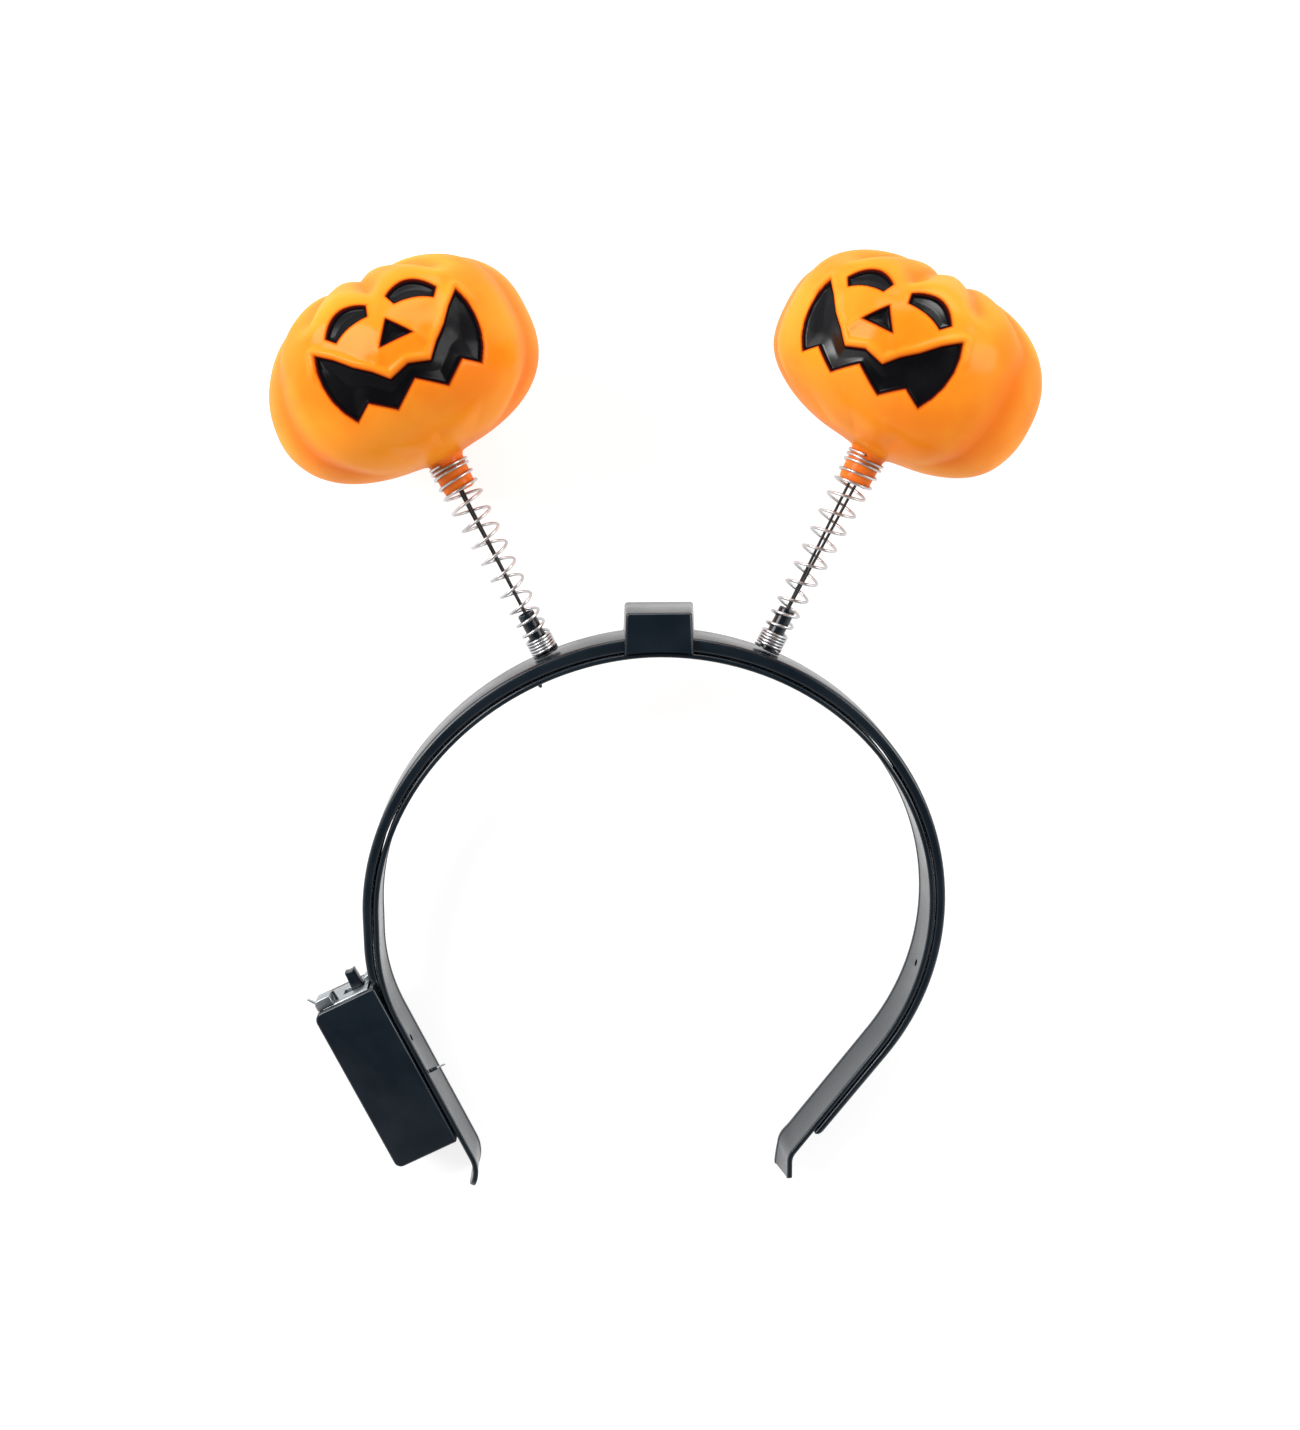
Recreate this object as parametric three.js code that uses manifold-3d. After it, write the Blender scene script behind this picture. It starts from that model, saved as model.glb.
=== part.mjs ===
// Light-up pumpkin headband: a plastic band with a battery box, a crown housing, and two hollow
// pumpkins that wobble on coil springs. Sizes are in millimetres.
// The band is drawn in X (across) and Y (towards the crown), with Z out of its front.
// The finished group lies on its back, as it does on a table: the backs of the pumpkins and the
// back corner of the battery box touch Z = 0.
import * as THREE from "three";
import { mergeVertices } from "three/addons/utils/BufferGeometryUtils.js";
import Module from "manifold-3d";

const wasm = await Module();
wasm.setup();

const { degToRad, lerp, smoothstep } = THREE.MathUtils;

// Clearance between neighbouring pieces
const GAP = 0.3;

// The band: an inner strip and an outer channel on the same path
const BAND_WIDTH = 14;
const CROWN_RISE = 61.1;
// The crown is a little flatter on its left shoulder; power 2 is a plain ellipse
const CROWN_SIDES = {
  left: { halfWidth: 65.5, power: 1.92 },
  right: { halfWidth: 64.5, power: 2 },
};
const STRIP_THICKNESS = 1.3;
const STRIP_RIM_WIDTH = 1.2;
const STRIP_RIM_HEIGHT = 0.35;
const TIP_ROUND_LENGTH = 5;
const TIP_END_SHARE = 0.62;
const CHANNEL_WALL = 1.2;
const CHANNEL_CHAMFER = 0.6;
const CHANNEL_HEIGHT_CROWN = 3.3;
const CHANNEL_HEIGHT_END = 1.5;
const CHANNEL_LEFT_ARC_DEG = 11.3;

// Each arm drops from the crown's widest point, bends in by leanDeg, runs straight, and curls out at its tip.
// The strip runs on past the channel's end by the length called beyond.
const ARMS = {
  left: { sign: -1, start: 65.5, drop: 7, arcRadius: 44.7, leanDeg: 25.4, straight: 38.9, beyond: 0 },
  right: { sign: 1, start: 64.5, drop: 0, arcRadius: 58, leanDeg: 37.3, straight: 26, beyond: 7 },
};
const TIPS = {
  left: { radius: 9, turnDeg: 50, end: 0 },
  right: { radius: 5, turnDeg: 38, end: 4.2 },
};
// Holes in the strip, by how far down the arm they are from the crown's widest point
const STRIP_HOLES = [
  { arm: "left", run: 32.3, z: 4 },
  { arm: "right", run: 15.4, z: 2 },
];
const STRIP_HOLE_RADIUS = 0.6;
const STAKE_ENDS = [
  { crownDeg: 115.7, z: 3 },
  { crownDeg: 112.2, z: -3 },
];
const STAKE_RADIUS = 0.75;
const STAKE_HEIGHT = 1.3;

// The housing that sits over the band at the crown
const HOUSING_WIDTH_BASE = 16.2;
const HOUSING_WIDTH_TOP = 15;
const HOUSING_TOP = 71.7;
const HOUSING_DEPTH = 18;
const HOUSING_WALL = 1.5;
const HOUSING_BEVEL = 0.5;

// The battery box, in the left arm's frame: x inwards from the strip, y up along the arm
const BOX_BELOW_BEND = 9.9;
const BOX_LENGTH_UP = 20.5;
const BOX_LENGTH_DOWN = 23.2;
const BOX_THICKNESS = 16.1;
const BOX_DEPTH = 15;
const BOX_WALL = 1.5;
const BOX_BEVEL = 0.5;
const BOX_CORNER_TOP = 2.2;
const BOX_CORNER_BOTTOM = 1.8;
const PLATE_SUNK = 1.2;
const PLATE_PROUD = 0.6;
const KNOB_FROM_OUTER_EDGE = 11.2;
const KNOB_WIDTH_BASE = 3;
const KNOB_WIDTH_TOP = 2.4;
const KNOB_DEPTH = 3;
const KNOB_PROUD = 4.4;
const KNOB_TRAVEL = 2;
const CONTACT_PIN = { fromOuterEdge: 6.1, z: 3, radius: 0.35, proud: 1.8 };
const CONTACT_WIRE = { fromOuterEdge: 2.4, z: 5, radius: 0.25, length: 3, leanDeg: 31 };
const BOX_PIN = { y: -5, z: 4.6, baseRadius: 0.45, baseLength: 2, endRadius: 0.22, length: 4.2 };

// The two boppers stand on the crown's outer face, each leaning outwards; the face turns inwards.
// The left spring also leans forward, and its pumpkin nods back on it.
const BOPPERS = {
  left: { sign: -1, crownDeg: 112.2, leanDeg: 26.2, forwardDeg: 3.8, springLength: 42.3, postFoot: 0.29 },
  right: { sign: 1, crownDeg: 68.4, leanDeg: 26.6, forwardDeg: 0, springLength: 43, postFoot: 0.25 },
};
const PUMPKINS = {
  left: { neckDeg: 0, nodDeg: 8.7, yawDeg: 10.2, leadDeg: 15 },
  right: { neckDeg: 0.4, nodDeg: 0, yawDeg: 27, leadDeg: 80 },
};
const POST = { flangeRadius: 3.2, flangeHeight: 0.4, radius: 1.95, bore: 1.35, top: 10.8 };
const NECK = { length: 8.2, endRadius: 3.45, rootRadius: 3.65, bore: 1.7, boreRim: 0.4 };
const WIRE_RADIUS = 0.35;
const COIL_STEPS_PER_TURN = 12;
const COIL_SIDES = 5;
// Each row is a stretch of a coil 43 mm long: where it ends along the axis, its turns and its end radius
const COIL_LENGTH = 43;
const COIL_START = { at: 1.45, radius: 2.9 };
const COIL_STRETCHES = [
  { stretch: "tight on the flange", endAt: 4.65, turns: 4, endRadius: 2.9 },
  { stretch: "opening", endAt: 11, turns: 2.2, endRadius: 3.1 },
  { stretch: "open", endAt: 42, turns: 7, endRadius: 4.2 },
  { stretch: "spaced on the neck", endAt: 48, turns: 2.5, endRadius: 4.25 },
  { stretch: "tight at the neck root", endAt: 50, turns: 2, endRadius: 4.3 },
];
const LEAD = { radius: 0.45, apart: 0.55, startAt: 7, endAt: 46, sides: 6, steps: 12 };

// The pumpkin, about its own axis: y up, z out of the face
const PUMPKIN_RADIUS = 31.3;
const PUMPKIN_HALF_HEIGHT = 22;
const PUMPKIN_SQUARENESS = 2.5;
const PUMPKIN_WALL = 2;
const PUMPKIN_SIDES = 40;
const LOBES = 10;
const CREASE_DEPTH = 1.4;
const TOP_DIMPLE = { depth: 2.5, radius: 7 };
const OUTER_RINGS_DEG = [-80, -65, -50, -35, -20, -6, 8, 20, 35, 50, 62, 73, 83];
const INNER_RINGS_DEG = [-78, -50, -20, 8, 35, 62];
const FACE_HEIGHT = 4;
const FACE_RECESS = 1.1;
const FACE_SMOOTH_DEG = { full: 45, none: 66 };
const FACE_SMOOTH_HEIGHT = { full: 11, none: 17 };
const NOSE = { halfWidth: 3.7, top: 3.1, bottom: -1.7 };
const EYE = {
  innerTop: [2.2, 7.6],
  browPull: [8.3, 11.8],
  outerTop: [12.8, 5.3],
  outerBottom: [11.2, 3.4],
  lidPull: [8, 5.6],
  innerBottom: [3, 5.2],
};
// Half of the grin, from the middle of the upper lip out to the tip and back along the teeth
const GRIN_HALF = [
  { corner: "lip dip", u: 4.5, v: -8.1 },
  { corner: "lip rise", u: 7.2, v: -5.2 },
  { corner: "cheek", u: 10.3, v: -2.6 },
  { corner: "cheek top", u: 13.2, v: 0.6 },
  { corner: "tip", u: 16.3, v: 3.4 },
  { corner: "outer top", u: 17.3, v: 0.3 },
  { corner: "outer middle", u: 17.7, v: -3 },
  { corner: "outer bend", u: 17.3, v: -6.6 },
  { corner: "outer low", u: 16.2, v: -9.8 },
  { corner: "outer fang", u: 14.4, v: -12.8 },
  { corner: "notch", u: 10.8, v: -10.4 },
  { corner: "inner fang", u: 5.8, v: -14.2 },
];
const GRIN_LIP_MIDDLE = -6.8;
const GRIN_TEETH_MIDDLE = -10;

// How far the band leans back when the whole thing lies on the table
const REST_TILT_DEG = 7.27;

const BLACK_PLASTIC = new THREE.MeshStandardMaterial({ color: 0x14161a, roughness: 0.35, metalness: 0 });
const ORANGE_PLASTIC = new THREE.MeshStandardMaterial({ color: 0xff8a1e, roughness: 0.4, metalness: 0 });
const STEEL_WIRE = new THREE.MeshStandardMaterial({ color: 0xb8babd, roughness: 0.3, metalness: 1 });
const GREY_METAL = new THREE.MeshStandardMaterial({ color: 0xa4a9ab, roughness: 0.45, metalness: 0.9 });
const LEAD_PLASTIC = new THREE.MeshStandardMaterial({ color: 0x0c0c0e, roughness: 0.5, metalness: 0 });

// A closed geometry as a solid with its faces outwards
function solidOf(geometry) {
  const bare = new THREE.BufferGeometry();
  bare.setAttribute("position", geometry.getAttribute("position"));
  bare.setIndex(geometry.index);
  const merged = mergeVertices(bare, 1e-4);
  const vertProperties = new Float32Array(merged.getAttribute("position").array);
  const triVerts = new Uint32Array(merged.index.array);
  const solid = new wasm.Manifold(new wasm.Mesh({ numProp: 3, vertProperties, triVerts }));
  if (solid.volume() > 0) return solid;
  triVerts.reverse();
  return new wasm.Manifold(new wasm.Mesh({ numProp: 3, vertProperties, triVerts }));
}

function geometryOf(solid) {
  const mesh = solid.getMesh();
  const geometry = new THREE.BufferGeometry();
  geometry.setAttribute("position", new THREE.BufferAttribute(mesh.vertProperties, 3));
  geometry.setIndex(new THREE.BufferAttribute(mesh.triVerts, 1));
  return geometry;
}

function addMesh(parent, name, solid, material) {
  const mesh = new THREE.Mesh(geometryOf(solid), material);
  mesh.name = name;
  parent.add(mesh);
  return mesh;
}

// Joins rings of equal length into one skin. A ring of one point is a pole. Open ends get flat caps.
function loft(rings) {
  const points = [];
  const triangles = [];
  const starts = rings.map((ring) => {
    const start = points.length;
    points.push(...ring);
    return start;
  });
  for (let i = 0; i + 1 < rings.length; i++) {
    const count = Math.max(rings[i].length, rings[i + 1].length);
    for (let j = 0; j < count; j++) {
      const next = (j + 1) % count;
      const [a, b] = rings[i].length === 1 ? [starts[i], starts[i]] : [starts[i] + j, starts[i] + next];
      const above = starts[i + 1];
      const [c, d] = rings[i + 1].length === 1 ? [above, above] : [above + j, above + next];
      if (a !== b) triangles.push(a, b, c);
      if (c !== d) triangles.push(b, d, c);
    }
  }
  const geometry = new THREE.BufferGeometry();
  geometry.setAttribute("position", new THREE.Float32BufferAttribute(points.flatMap((p) => p.toArray()), 3));
  geometry.setIndex(triangles);
  return geometry;
}

// Carries a flat section along stations of the band's path, and closes both ends
function sweep(stations, sectionAt) {
  const sections = stations.map(sectionAt);
  const rings = stations.map(({ x, y, nx, ny }, i) =>
    sections[i].map(([out, z]) => new THREE.Vector3(x + nx * out, y + ny * out, z)),
  );
  const skin = loft(rings);
  const triangles = Array.from(skin.index.array);
  const ends = [
    { section: sections[0], start: 0, flip: false },
    { section: sections.at(-1), start: rings[0].length * (rings.length - 1), flip: true },
  ];
  for (const { section, start, flip } of ends) {
    const outline = section.map(([out, z]) => new THREE.Vector2(out, z));
    for (const [a, b, c] of THREE.ShapeUtils.triangulateShape(outline, [])) {
      triangles.push(start + a, start + (flip ? c : b), start + (flip ? b : c));
    }
  }
  skin.setIndex(triangles);
  return skin;
}

function boxSolid(x, y, z) {
  const [width, height, depth] = [x[1] - x[0], y[1] - y[0], z[1] - z[0]];
  const geometry = new THREE.BoxGeometry(width, height, depth);
  geometry.translate((x[0] + x[1]) / 2, (y[0] + y[1]) / 2, (z[0] + z[1]) / 2);
  return solidOf(geometry);
}

// A round piece along +Y that starts at base and leans about Z
function rodSolid(base, startRadius, endRadius, length, leanRad, sides = 10) {
  const geometry = new THREE.CylinderGeometry(endRadius, startRadius, length, sides);
  geometry.translate(0, length / 2, 0);
  geometry.rotateZ(leanRad);
  geometry.translate(base.x, base.y, base.z);
  return solidOf(geometry);
}

// A flat outline pulled through a depth centred on Z = 0
function slabSolid(shape, depth, bevel = 0) {
  const geometry = new THREE.ExtrudeGeometry(shape, {
    depth: depth - 2 * bevel,
    bevelEnabled: bevel > 0,
    bevelThickness: bevel,
    bevelSize: bevel,
    bevelOffset: -bevel,
    bevelSegments: 1,
    curveSegments: 4,
  });
  geometry.translate(0, 0, bevel - depth / 2);
  return solidOf(geometry);
}

// A point of the crown's inner face, measured round from the right side, with its outward normal
function crownStation(deg) {
  const { halfWidth, power } = deg > 90 ? CROWN_SIDES.left : CROWN_SIDES.right;
  const sign = deg > 90 ? -1 : 1;
  const across = Math.abs(Math.cos(degToRad(deg))) ** (2 / power);
  const rise = Math.abs(Math.sin(degToRad(deg))) ** (2 / power);
  const slope = [across ** (power - 1) / halfWidth, rise ** (power - 1) / CROWN_RISE];
  const normal = new THREE.Vector2(sign * slope[0], slope[1]).normalize();
  return { x: sign * halfWidth * across, y: CROWN_RISE * rise, nx: normal.x, ny: normal.y };
}

// A point of an arm's inner face, by how far down it is from the crown's widest point
function armStation(arm, run) {
  const bendRun = Math.max(0, run - arm.drop);
  const bend = Math.min(bendRun / arm.arcRadius, degToRad(arm.leanDeg));
  const straight = bendRun - bend * arm.arcRadius;
  const x = arm.start - arm.arcRadius * (1 - Math.cos(bend)) - straight * Math.sin(bend);
  const y = -Math.min(run, arm.drop) - arm.arcRadius * Math.sin(bend) - straight * Math.cos(bend);
  return { x: arm.sign * x, y, nx: arm.sign * Math.cos(bend), ny: -Math.sin(bend) };
}

function bendEndRun(arm) {
  return arm.drop + arm.arcRadius * degToRad(arm.leanDeg);
}

// Stations down an arm after the crown: drop, bend, straight run and tip curl, as far as the rows go
function armStations(arm, rows) {
  let { x, y } = armStation(arm, 0);
  let lean = 0;
  const stations = [];
  for (const { length, turnDeg, steps } of rows) {
    if (length === 0) continue;
    const stepLength = length / steps;
    const stepTurn = degToRad(turnDeg) / steps;
    for (let i = 0; i < steps; i++) {
      const middle = lean + stepTurn / 2;
      x -= arm.sign * stepLength * Math.sin(middle);
      y -= stepLength * Math.cos(middle);
      lean += stepTurn;
      stations.push({ x, y, nx: arm.sign * Math.cos(lean), ny: -Math.sin(lean) });
    }
  }
  return stations;
}

function bendRows(arm, leanDeg) {
  return [
    { length: arm.drop, turnDeg: 0, steps: 1 },
    { length: arm.arcRadius * degToRad(leanDeg), turnDeg: leanDeg, steps: 6 },
  ];
}

function straightRow(arm) {
  return { length: arm.straight, turnDeg: 0, steps: 2 };
}

function tipRows(arm, tip) {
  return [
    { length: arm.beyond, turnDeg: 0, steps: 1 },
    { length: tip.radius * degToRad(tip.turnDeg), turnDeg: -tip.turnDeg, steps: 6 },
    { length: tip.end, turnDeg: 0, steps: 2 },
  ];
}

// The whole path from the left end over the crown to the right end, with the length run so far
function bandStations(leftRows, rightRows) {
  const crownSteps = 30;
  const crown = Array.from({ length: crownSteps + 1 }, (_, i) => crownStation(180 - (180 * i) / crownSteps));
  const stations = [
    ...armStations(ARMS.left, leftRows).reverse(),
    ...crown,
    ...armStations(ARMS.right, rightRows),
  ];
  let run = 0;
  stations.forEach((station, i) => {
    if (i > 0) run += Math.hypot(station.x - stations[i - 1].x, station.y - stations[i - 1].y);
    station.run = run;
  });
  return stations;
}

function bandStripSolid() {
  const [left, right] = [ARMS.left, ARMS.right];
  const stations = bandStations(
    [...bendRows(left, left.leanDeg), straightRow(left), ...tipRows(left, TIPS.left)],
    [...bendRows(right, right.leanDeg), straightRow(right), ...tipRows(right, TIPS.right)],
  );
  const total = stations.at(-1).run;
  const section = ({ run }) => {
    const fromTip = Math.min(run, total - run);
    const roundShare = Math.sqrt(Math.min(1, fromTip / TIP_ROUND_LENGTH));
    const half = (BAND_WIDTH / 2) * lerp(TIP_END_SHARE, 1, roundShare);
    const rim = half - STRIP_RIM_WIDTH;
    const web = rim - STRIP_RIM_HEIGHT;
    return [
      [0, -half],
      [0, -rim],
      [STRIP_RIM_HEIGHT, -web],
      [STRIP_RIM_HEIGHT, web],
      [0, rim],
      [0, half],
      [STRIP_THICKNESS, half],
      [STRIP_THICKNESS, -half],
    ];
  };
  let strip = solidOf(sweep(stations, section));
  for (const { arm, run, z } of STRIP_HOLES) {
    const { x, y, nx, ny } = armStation(ARMS[arm], run);
    const base = new THREE.Vector3(x - 2 * nx, y - 2 * ny, z);
    const drill = rodSolid(base, STRIP_HOLE_RADIUS, STRIP_HOLE_RADIUS, 6, Math.atan2(-nx, ny));
    strip = strip.subtract(drill);
  }
  for (const { crownDeg, z } of STAKE_ENDS) {
    const { x, y, nx, ny } = crownStation(crownDeg);
    const sunk = STRIP_THICKNESS / 2;
    const base = new THREE.Vector3(x + nx * sunk, y + ny * sunk, z);
    const length = sunk + STAKE_HEIGHT;
    strip = strip.add(rodSolid(base, STAKE_RADIUS, STAKE_RADIUS * 0.6, length, Math.atan2(nx, -ny), 8));
  }
  return strip;
}

// The channel is a U, open towards the strip, whose height falls away from the crown
function bandChannelSolid() {
  const stations = bandStations(bendRows(ARMS.left, CHANNEL_LEFT_ARC_DEG), [
    ...bendRows(ARMS.right, ARMS.right.leanDeg),
    straightRow(ARMS.right),
  ]);
  const crownRun = stations.reduce((best, station) => (station.y > best.y ? station : best)).run;
  const longest = Math.max(crownRun, stations.at(-1).run - crownRun);
  const foot = STRIP_THICKNESS + GAP;
  const half = BAND_WIDTH / 2;
  const inner = half - CHANNEL_WALL;
  const section = ({ run }) => {
    const height = lerp(CHANNEL_HEIGHT_CROWN, CHANNEL_HEIGHT_END, Math.abs(run - crownRun) / longest);
    const roof = foot + height;
    const ceiling = roof - CHANNEL_WALL;
    return [
      [foot, -half],
      [foot, -inner],
      [ceiling, -inner],
      [ceiling, inner],
      [foot, inner],
      [foot, half],
      [roof - CHANNEL_CHAMFER, half],
      [roof, half - CHANNEL_CHAMFER],
      [roof, CHANNEL_CHAMFER - half],
      [roof - CHANNEL_CHAMFER, -half],
    ];
  };
  return solidOf(sweep(stations, section));
}

// Everything under the top of the crown's inner face, grown outwards by an amount
function underCrown(grow, depth) {
  const top = Array.from({ length: 21 }, (_, i) => {
    const { x, y, nx, ny } = crownStation(60 + 3 * i);
    return new THREE.Vector2(x + nx * grow, y + ny * grow);
  });
  return slabSolid(new THREE.Shape(top), depth);
}

function centerHousingSolid() {
  const [base, top] = [HOUSING_WIDTH_BASE / 2, HOUSING_WIDTH_TOP / 2];
  const foot = CROWN_RISE - 3;
  const shape = new THREE.Shape();
  shape.moveTo(-base, foot);
  shape.lineTo(base, foot);
  shape.lineTo(top, HOUSING_TOP);
  shape.lineTo(-top, HOUSING_TOP);
  const slotDepth = BAND_WIDTH + 2 * GAP;
  const channelFoot = STRIP_THICKNESS + GAP;
  const bandHeight = channelFoot + CHANNEL_HEIGHT_CROWN;
  const room = top - HOUSING_WALL;
  const heights = [foot - 1, HOUSING_TOP - HOUSING_WALL];
  const cavity = boxSolid([-room, room], heights, [-slotDepth / 2, slotDepth / 2]);
  return slabSolid(shape, HOUSING_DEPTH, HOUSING_BEVEL)
    .subtract(underCrown(channelFoot, HOUSING_DEPTH + 2))
    .subtract(underCrown(bandHeight + GAP, slotDepth))
    .subtract(cavity);
}

// Places of the battery box's outer and inner walls in the left arm's frame
const boxInner = -STRIP_THICKNESS - GAP;
const boxOuter = boxInner - BOX_THICKNESS;

function batteryBoxSolid() {
  const shape = new THREE.Shape();
  shape.moveTo(boxInner, -BOX_LENGTH_DOWN);
  shape.lineTo(boxInner, BOX_LENGTH_UP);
  shape.lineTo(boxOuter + BOX_CORNER_TOP, BOX_LENGTH_UP);
  const topCorner = [boxOuter + BOX_CORNER_TOP, BOX_LENGTH_UP - BOX_CORNER_TOP];
  shape.absarc(...topCorner, BOX_CORNER_TOP, Math.PI / 2, Math.PI);
  const bottomCorner = [boxOuter + BOX_CORNER_BOTTOM, BOX_CORNER_BOTTOM - BOX_LENGTH_DOWN];
  shape.absarc(...bottomCorner, BOX_CORNER_BOTTOM, Math.PI, Math.PI * 1.5);
  const half = BOX_DEPTH / 2 - BOX_WALL;
  const cavity = boxSolid(
    [boxOuter + BOX_WALL, boxInner - BOX_WALL],
    [BOX_WALL - BOX_LENGTH_DOWN, BOX_LENGTH_UP + 1],
    [-half, half],
  );
  return slabSolid(shape, BOX_DEPTH, BOX_BEVEL).subtract(cavity);
}

function switchPlateSolid() {
  const half = BOX_DEPTH / 2 - BOX_WALL - GAP;
  const heights = [BOX_LENGTH_UP - PLATE_SUNK, BOX_LENGTH_UP + PLATE_PROUD];
  const through = [heights[0] - 1, heights[1] + 1];
  const knobAt = boxOuter + KNOB_FROM_OUTER_EDGE;
  const slotHalf = KNOB_WIDTH_BASE / 2 + GAP;
  const slotDepth = KNOB_DEPTH / 2 + GAP;
  const slotEnds = [knobAt - KNOB_TRAVEL - slotHalf, knobAt + slotHalf];
  const slot = boxSolid(slotEnds, through, [-slotDepth, slotDepth]);
  const pinBase = new THREE.Vector3(boxOuter + CONTACT_PIN.fromOuterEdge, through[0], CONTACT_PIN.z);
  const pinRadius = CONTACT_PIN.radius + GAP;
  const pinHole = rodSolid(pinBase, pinRadius, pinRadius, through[1] - through[0], 0);
  return boxSolid([boxOuter + BOX_WALL + GAP, boxInner - BOX_WALL - GAP], heights, [-half, half])
    .subtract(slot)
    .subtract(pinHole);
}

function switchKnobSolid() {
  const shape = new THREE.Shape();
  const bottom = BOX_LENGTH_UP - PLATE_SUNK - GAP;
  const collar = BOX_LENGTH_UP + PLATE_PROUD;
  const top = BOX_LENGTH_UP + KNOB_PROUD + GAP;
  shape.moveTo(-KNOB_WIDTH_BASE / 2, bottom);
  shape.lineTo(KNOB_WIDTH_BASE / 2, bottom);
  shape.lineTo(KNOB_WIDTH_BASE / 2, collar);
  shape.lineTo(KNOB_WIDTH_TOP / 2, top);
  shape.lineTo(-KNOB_WIDTH_TOP / 2, top);
  shape.lineTo(-KNOB_WIDTH_BASE / 2, collar);
  return slabSolid(shape, KNOB_DEPTH).translate([boxOuter + KNOB_FROM_OUTER_EDGE, 0, 0]);
}

function contactPinSolid() {
  const { fromOuterEdge, z, radius, proud } = CONTACT_PIN;
  const base = new THREE.Vector3(boxOuter + fromOuterEdge, BOX_LENGTH_UP - PLATE_SUNK, z);
  return rodSolid(base, radius, radius, PLATE_SUNK + PLATE_PROUD + proud, 0, 8);
}

function contactWireSolid() {
  const { fromOuterEdge, z, radius, length, leanDeg } = CONTACT_WIRE;
  const lean = degToRad(leanDeg);
  const foot = BOX_LENGTH_UP + PLATE_PROUD + GAP + radius * Math.sin(lean);
  const base = new THREE.Vector3(boxOuter + fromOuterEdge, foot, z);
  return rodSolid(base, radius, radius * 0.8, length, lean, 6);
}

// A thick base and a thin end, pointing into the head space
function boxPinSolid() {
  const { y, z, baseRadius, baseLength, endRadius, length } = BOX_PIN;
  const profile = [
    [0, 0],
    [baseRadius, 0],
    [baseRadius, baseLength],
    [endRadius, baseLength],
    [endRadius, length],
    [0, length],
  ].map(([r, along]) => new THREE.Vector2(r, along));
  const geometry = new THREE.LatheGeometry(profile, 8);
  geometry.rotateZ(-Math.PI / 2);
  geometry.translate(GAP - STRIP_RIM_HEIGHT, y, z);
  return solidOf(geometry);
}

// The thin flange and tube that hold a spring, about the bopper's own axis
function springPostSolid(foot) {
  const profile = [
    [POST.bore, foot],
    [POST.flangeRadius, foot],
    [POST.flangeRadius, foot + POST.flangeHeight],
    [POST.radius, foot + POST.flangeHeight],
    [POST.radius, POST.top],
    [POST.bore, POST.top],
    [POST.bore, foot],
  ].map(([r, y]) => new THREE.Vector2(r, y));
  return solidOf(new THREE.LatheGeometry(profile, 20));
}

// The spring's wire: a right-handed helix in stretches, turned onto the neck's axis near its top
class CoilCurve extends THREE.Curve {
  constructor(springLength, neckTurn) {
    super();
    Object.assign(this, { springLength, neckTurn });
    this.turns = COIL_STRETCHES.reduce((sum, row) => sum + row.turns, 0);
    this.arcLengthDivisions = 4000;
  }

  getPoint(t, target = new THREE.Vector3()) {
    let turn = t * this.turns;
    const angle = -turn * Math.PI * 2;
    let from = COIL_START;
    let { at, radius } = from;
    for (const row of COIL_STRETCHES) {
      const share = Math.min(1, turn / row.turns);
      at = lerp(from.at, row.endAt, share);
      radius = lerp(from.radius, row.endRadius, share);
      if (turn <= row.turns) break;
      turn -= row.turns;
      from = { at: row.endAt, radius: row.endRadius };
    }
    const height = (at / COIL_LENGTH) * this.springLength;
    target.set(radius * Math.cos(angle), height, radius * Math.sin(angle));
    return bendTowardsNeck(target, this);
  }
}

// The spring's axis turns onto the neck's over its last stretch
function bendTowardsNeck(point, { springLength, neckTurn }) {
  const share = smoothstep(point.y, springLength - 12, springLength);
  const pivot = new THREE.Vector3(0, springLength, 0);
  const turn = new THREE.Quaternion().slerp(neckTurn, share);
  return point.sub(pivot).applyQuaternion(turn).add(pivot);
}

// One of the two leads inside the coil, from the post's bore to the neck's bore
class LeadCurve extends THREE.Curve {
  constructor(side, twistRad, springLength, neckTurn) {
    super();
    Object.assign(this, { side, twistRad, springLength, neckTurn });
  }

  getPoint(t, target = new THREE.Vector3()) {
    const angle = Math.PI / 2 - this.twistRad * t;
    const reach = this.side * LEAD.apart;
    target.set(reach * Math.cos(angle), lerp(LEAD.startAt, LEAD.endAt, t), reach * Math.sin(angle));
    return bendTowardsNeck(target, this);
  }
}

function wireSolid(curve, radius, sides, steps) {
  const section = new THREE.Shape(
    Array.from({ length: sides }, (_, i) => {
      const angle = (i / sides) * Math.PI * 2;
      return new THREE.Vector2(radius * Math.cos(angle), radius * Math.sin(angle));
    }),
  );
  return solidOf(new THREE.ExtrudeGeometry(section, { steps, extrudePath: curve, bevelEnabled: false }));
}

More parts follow.
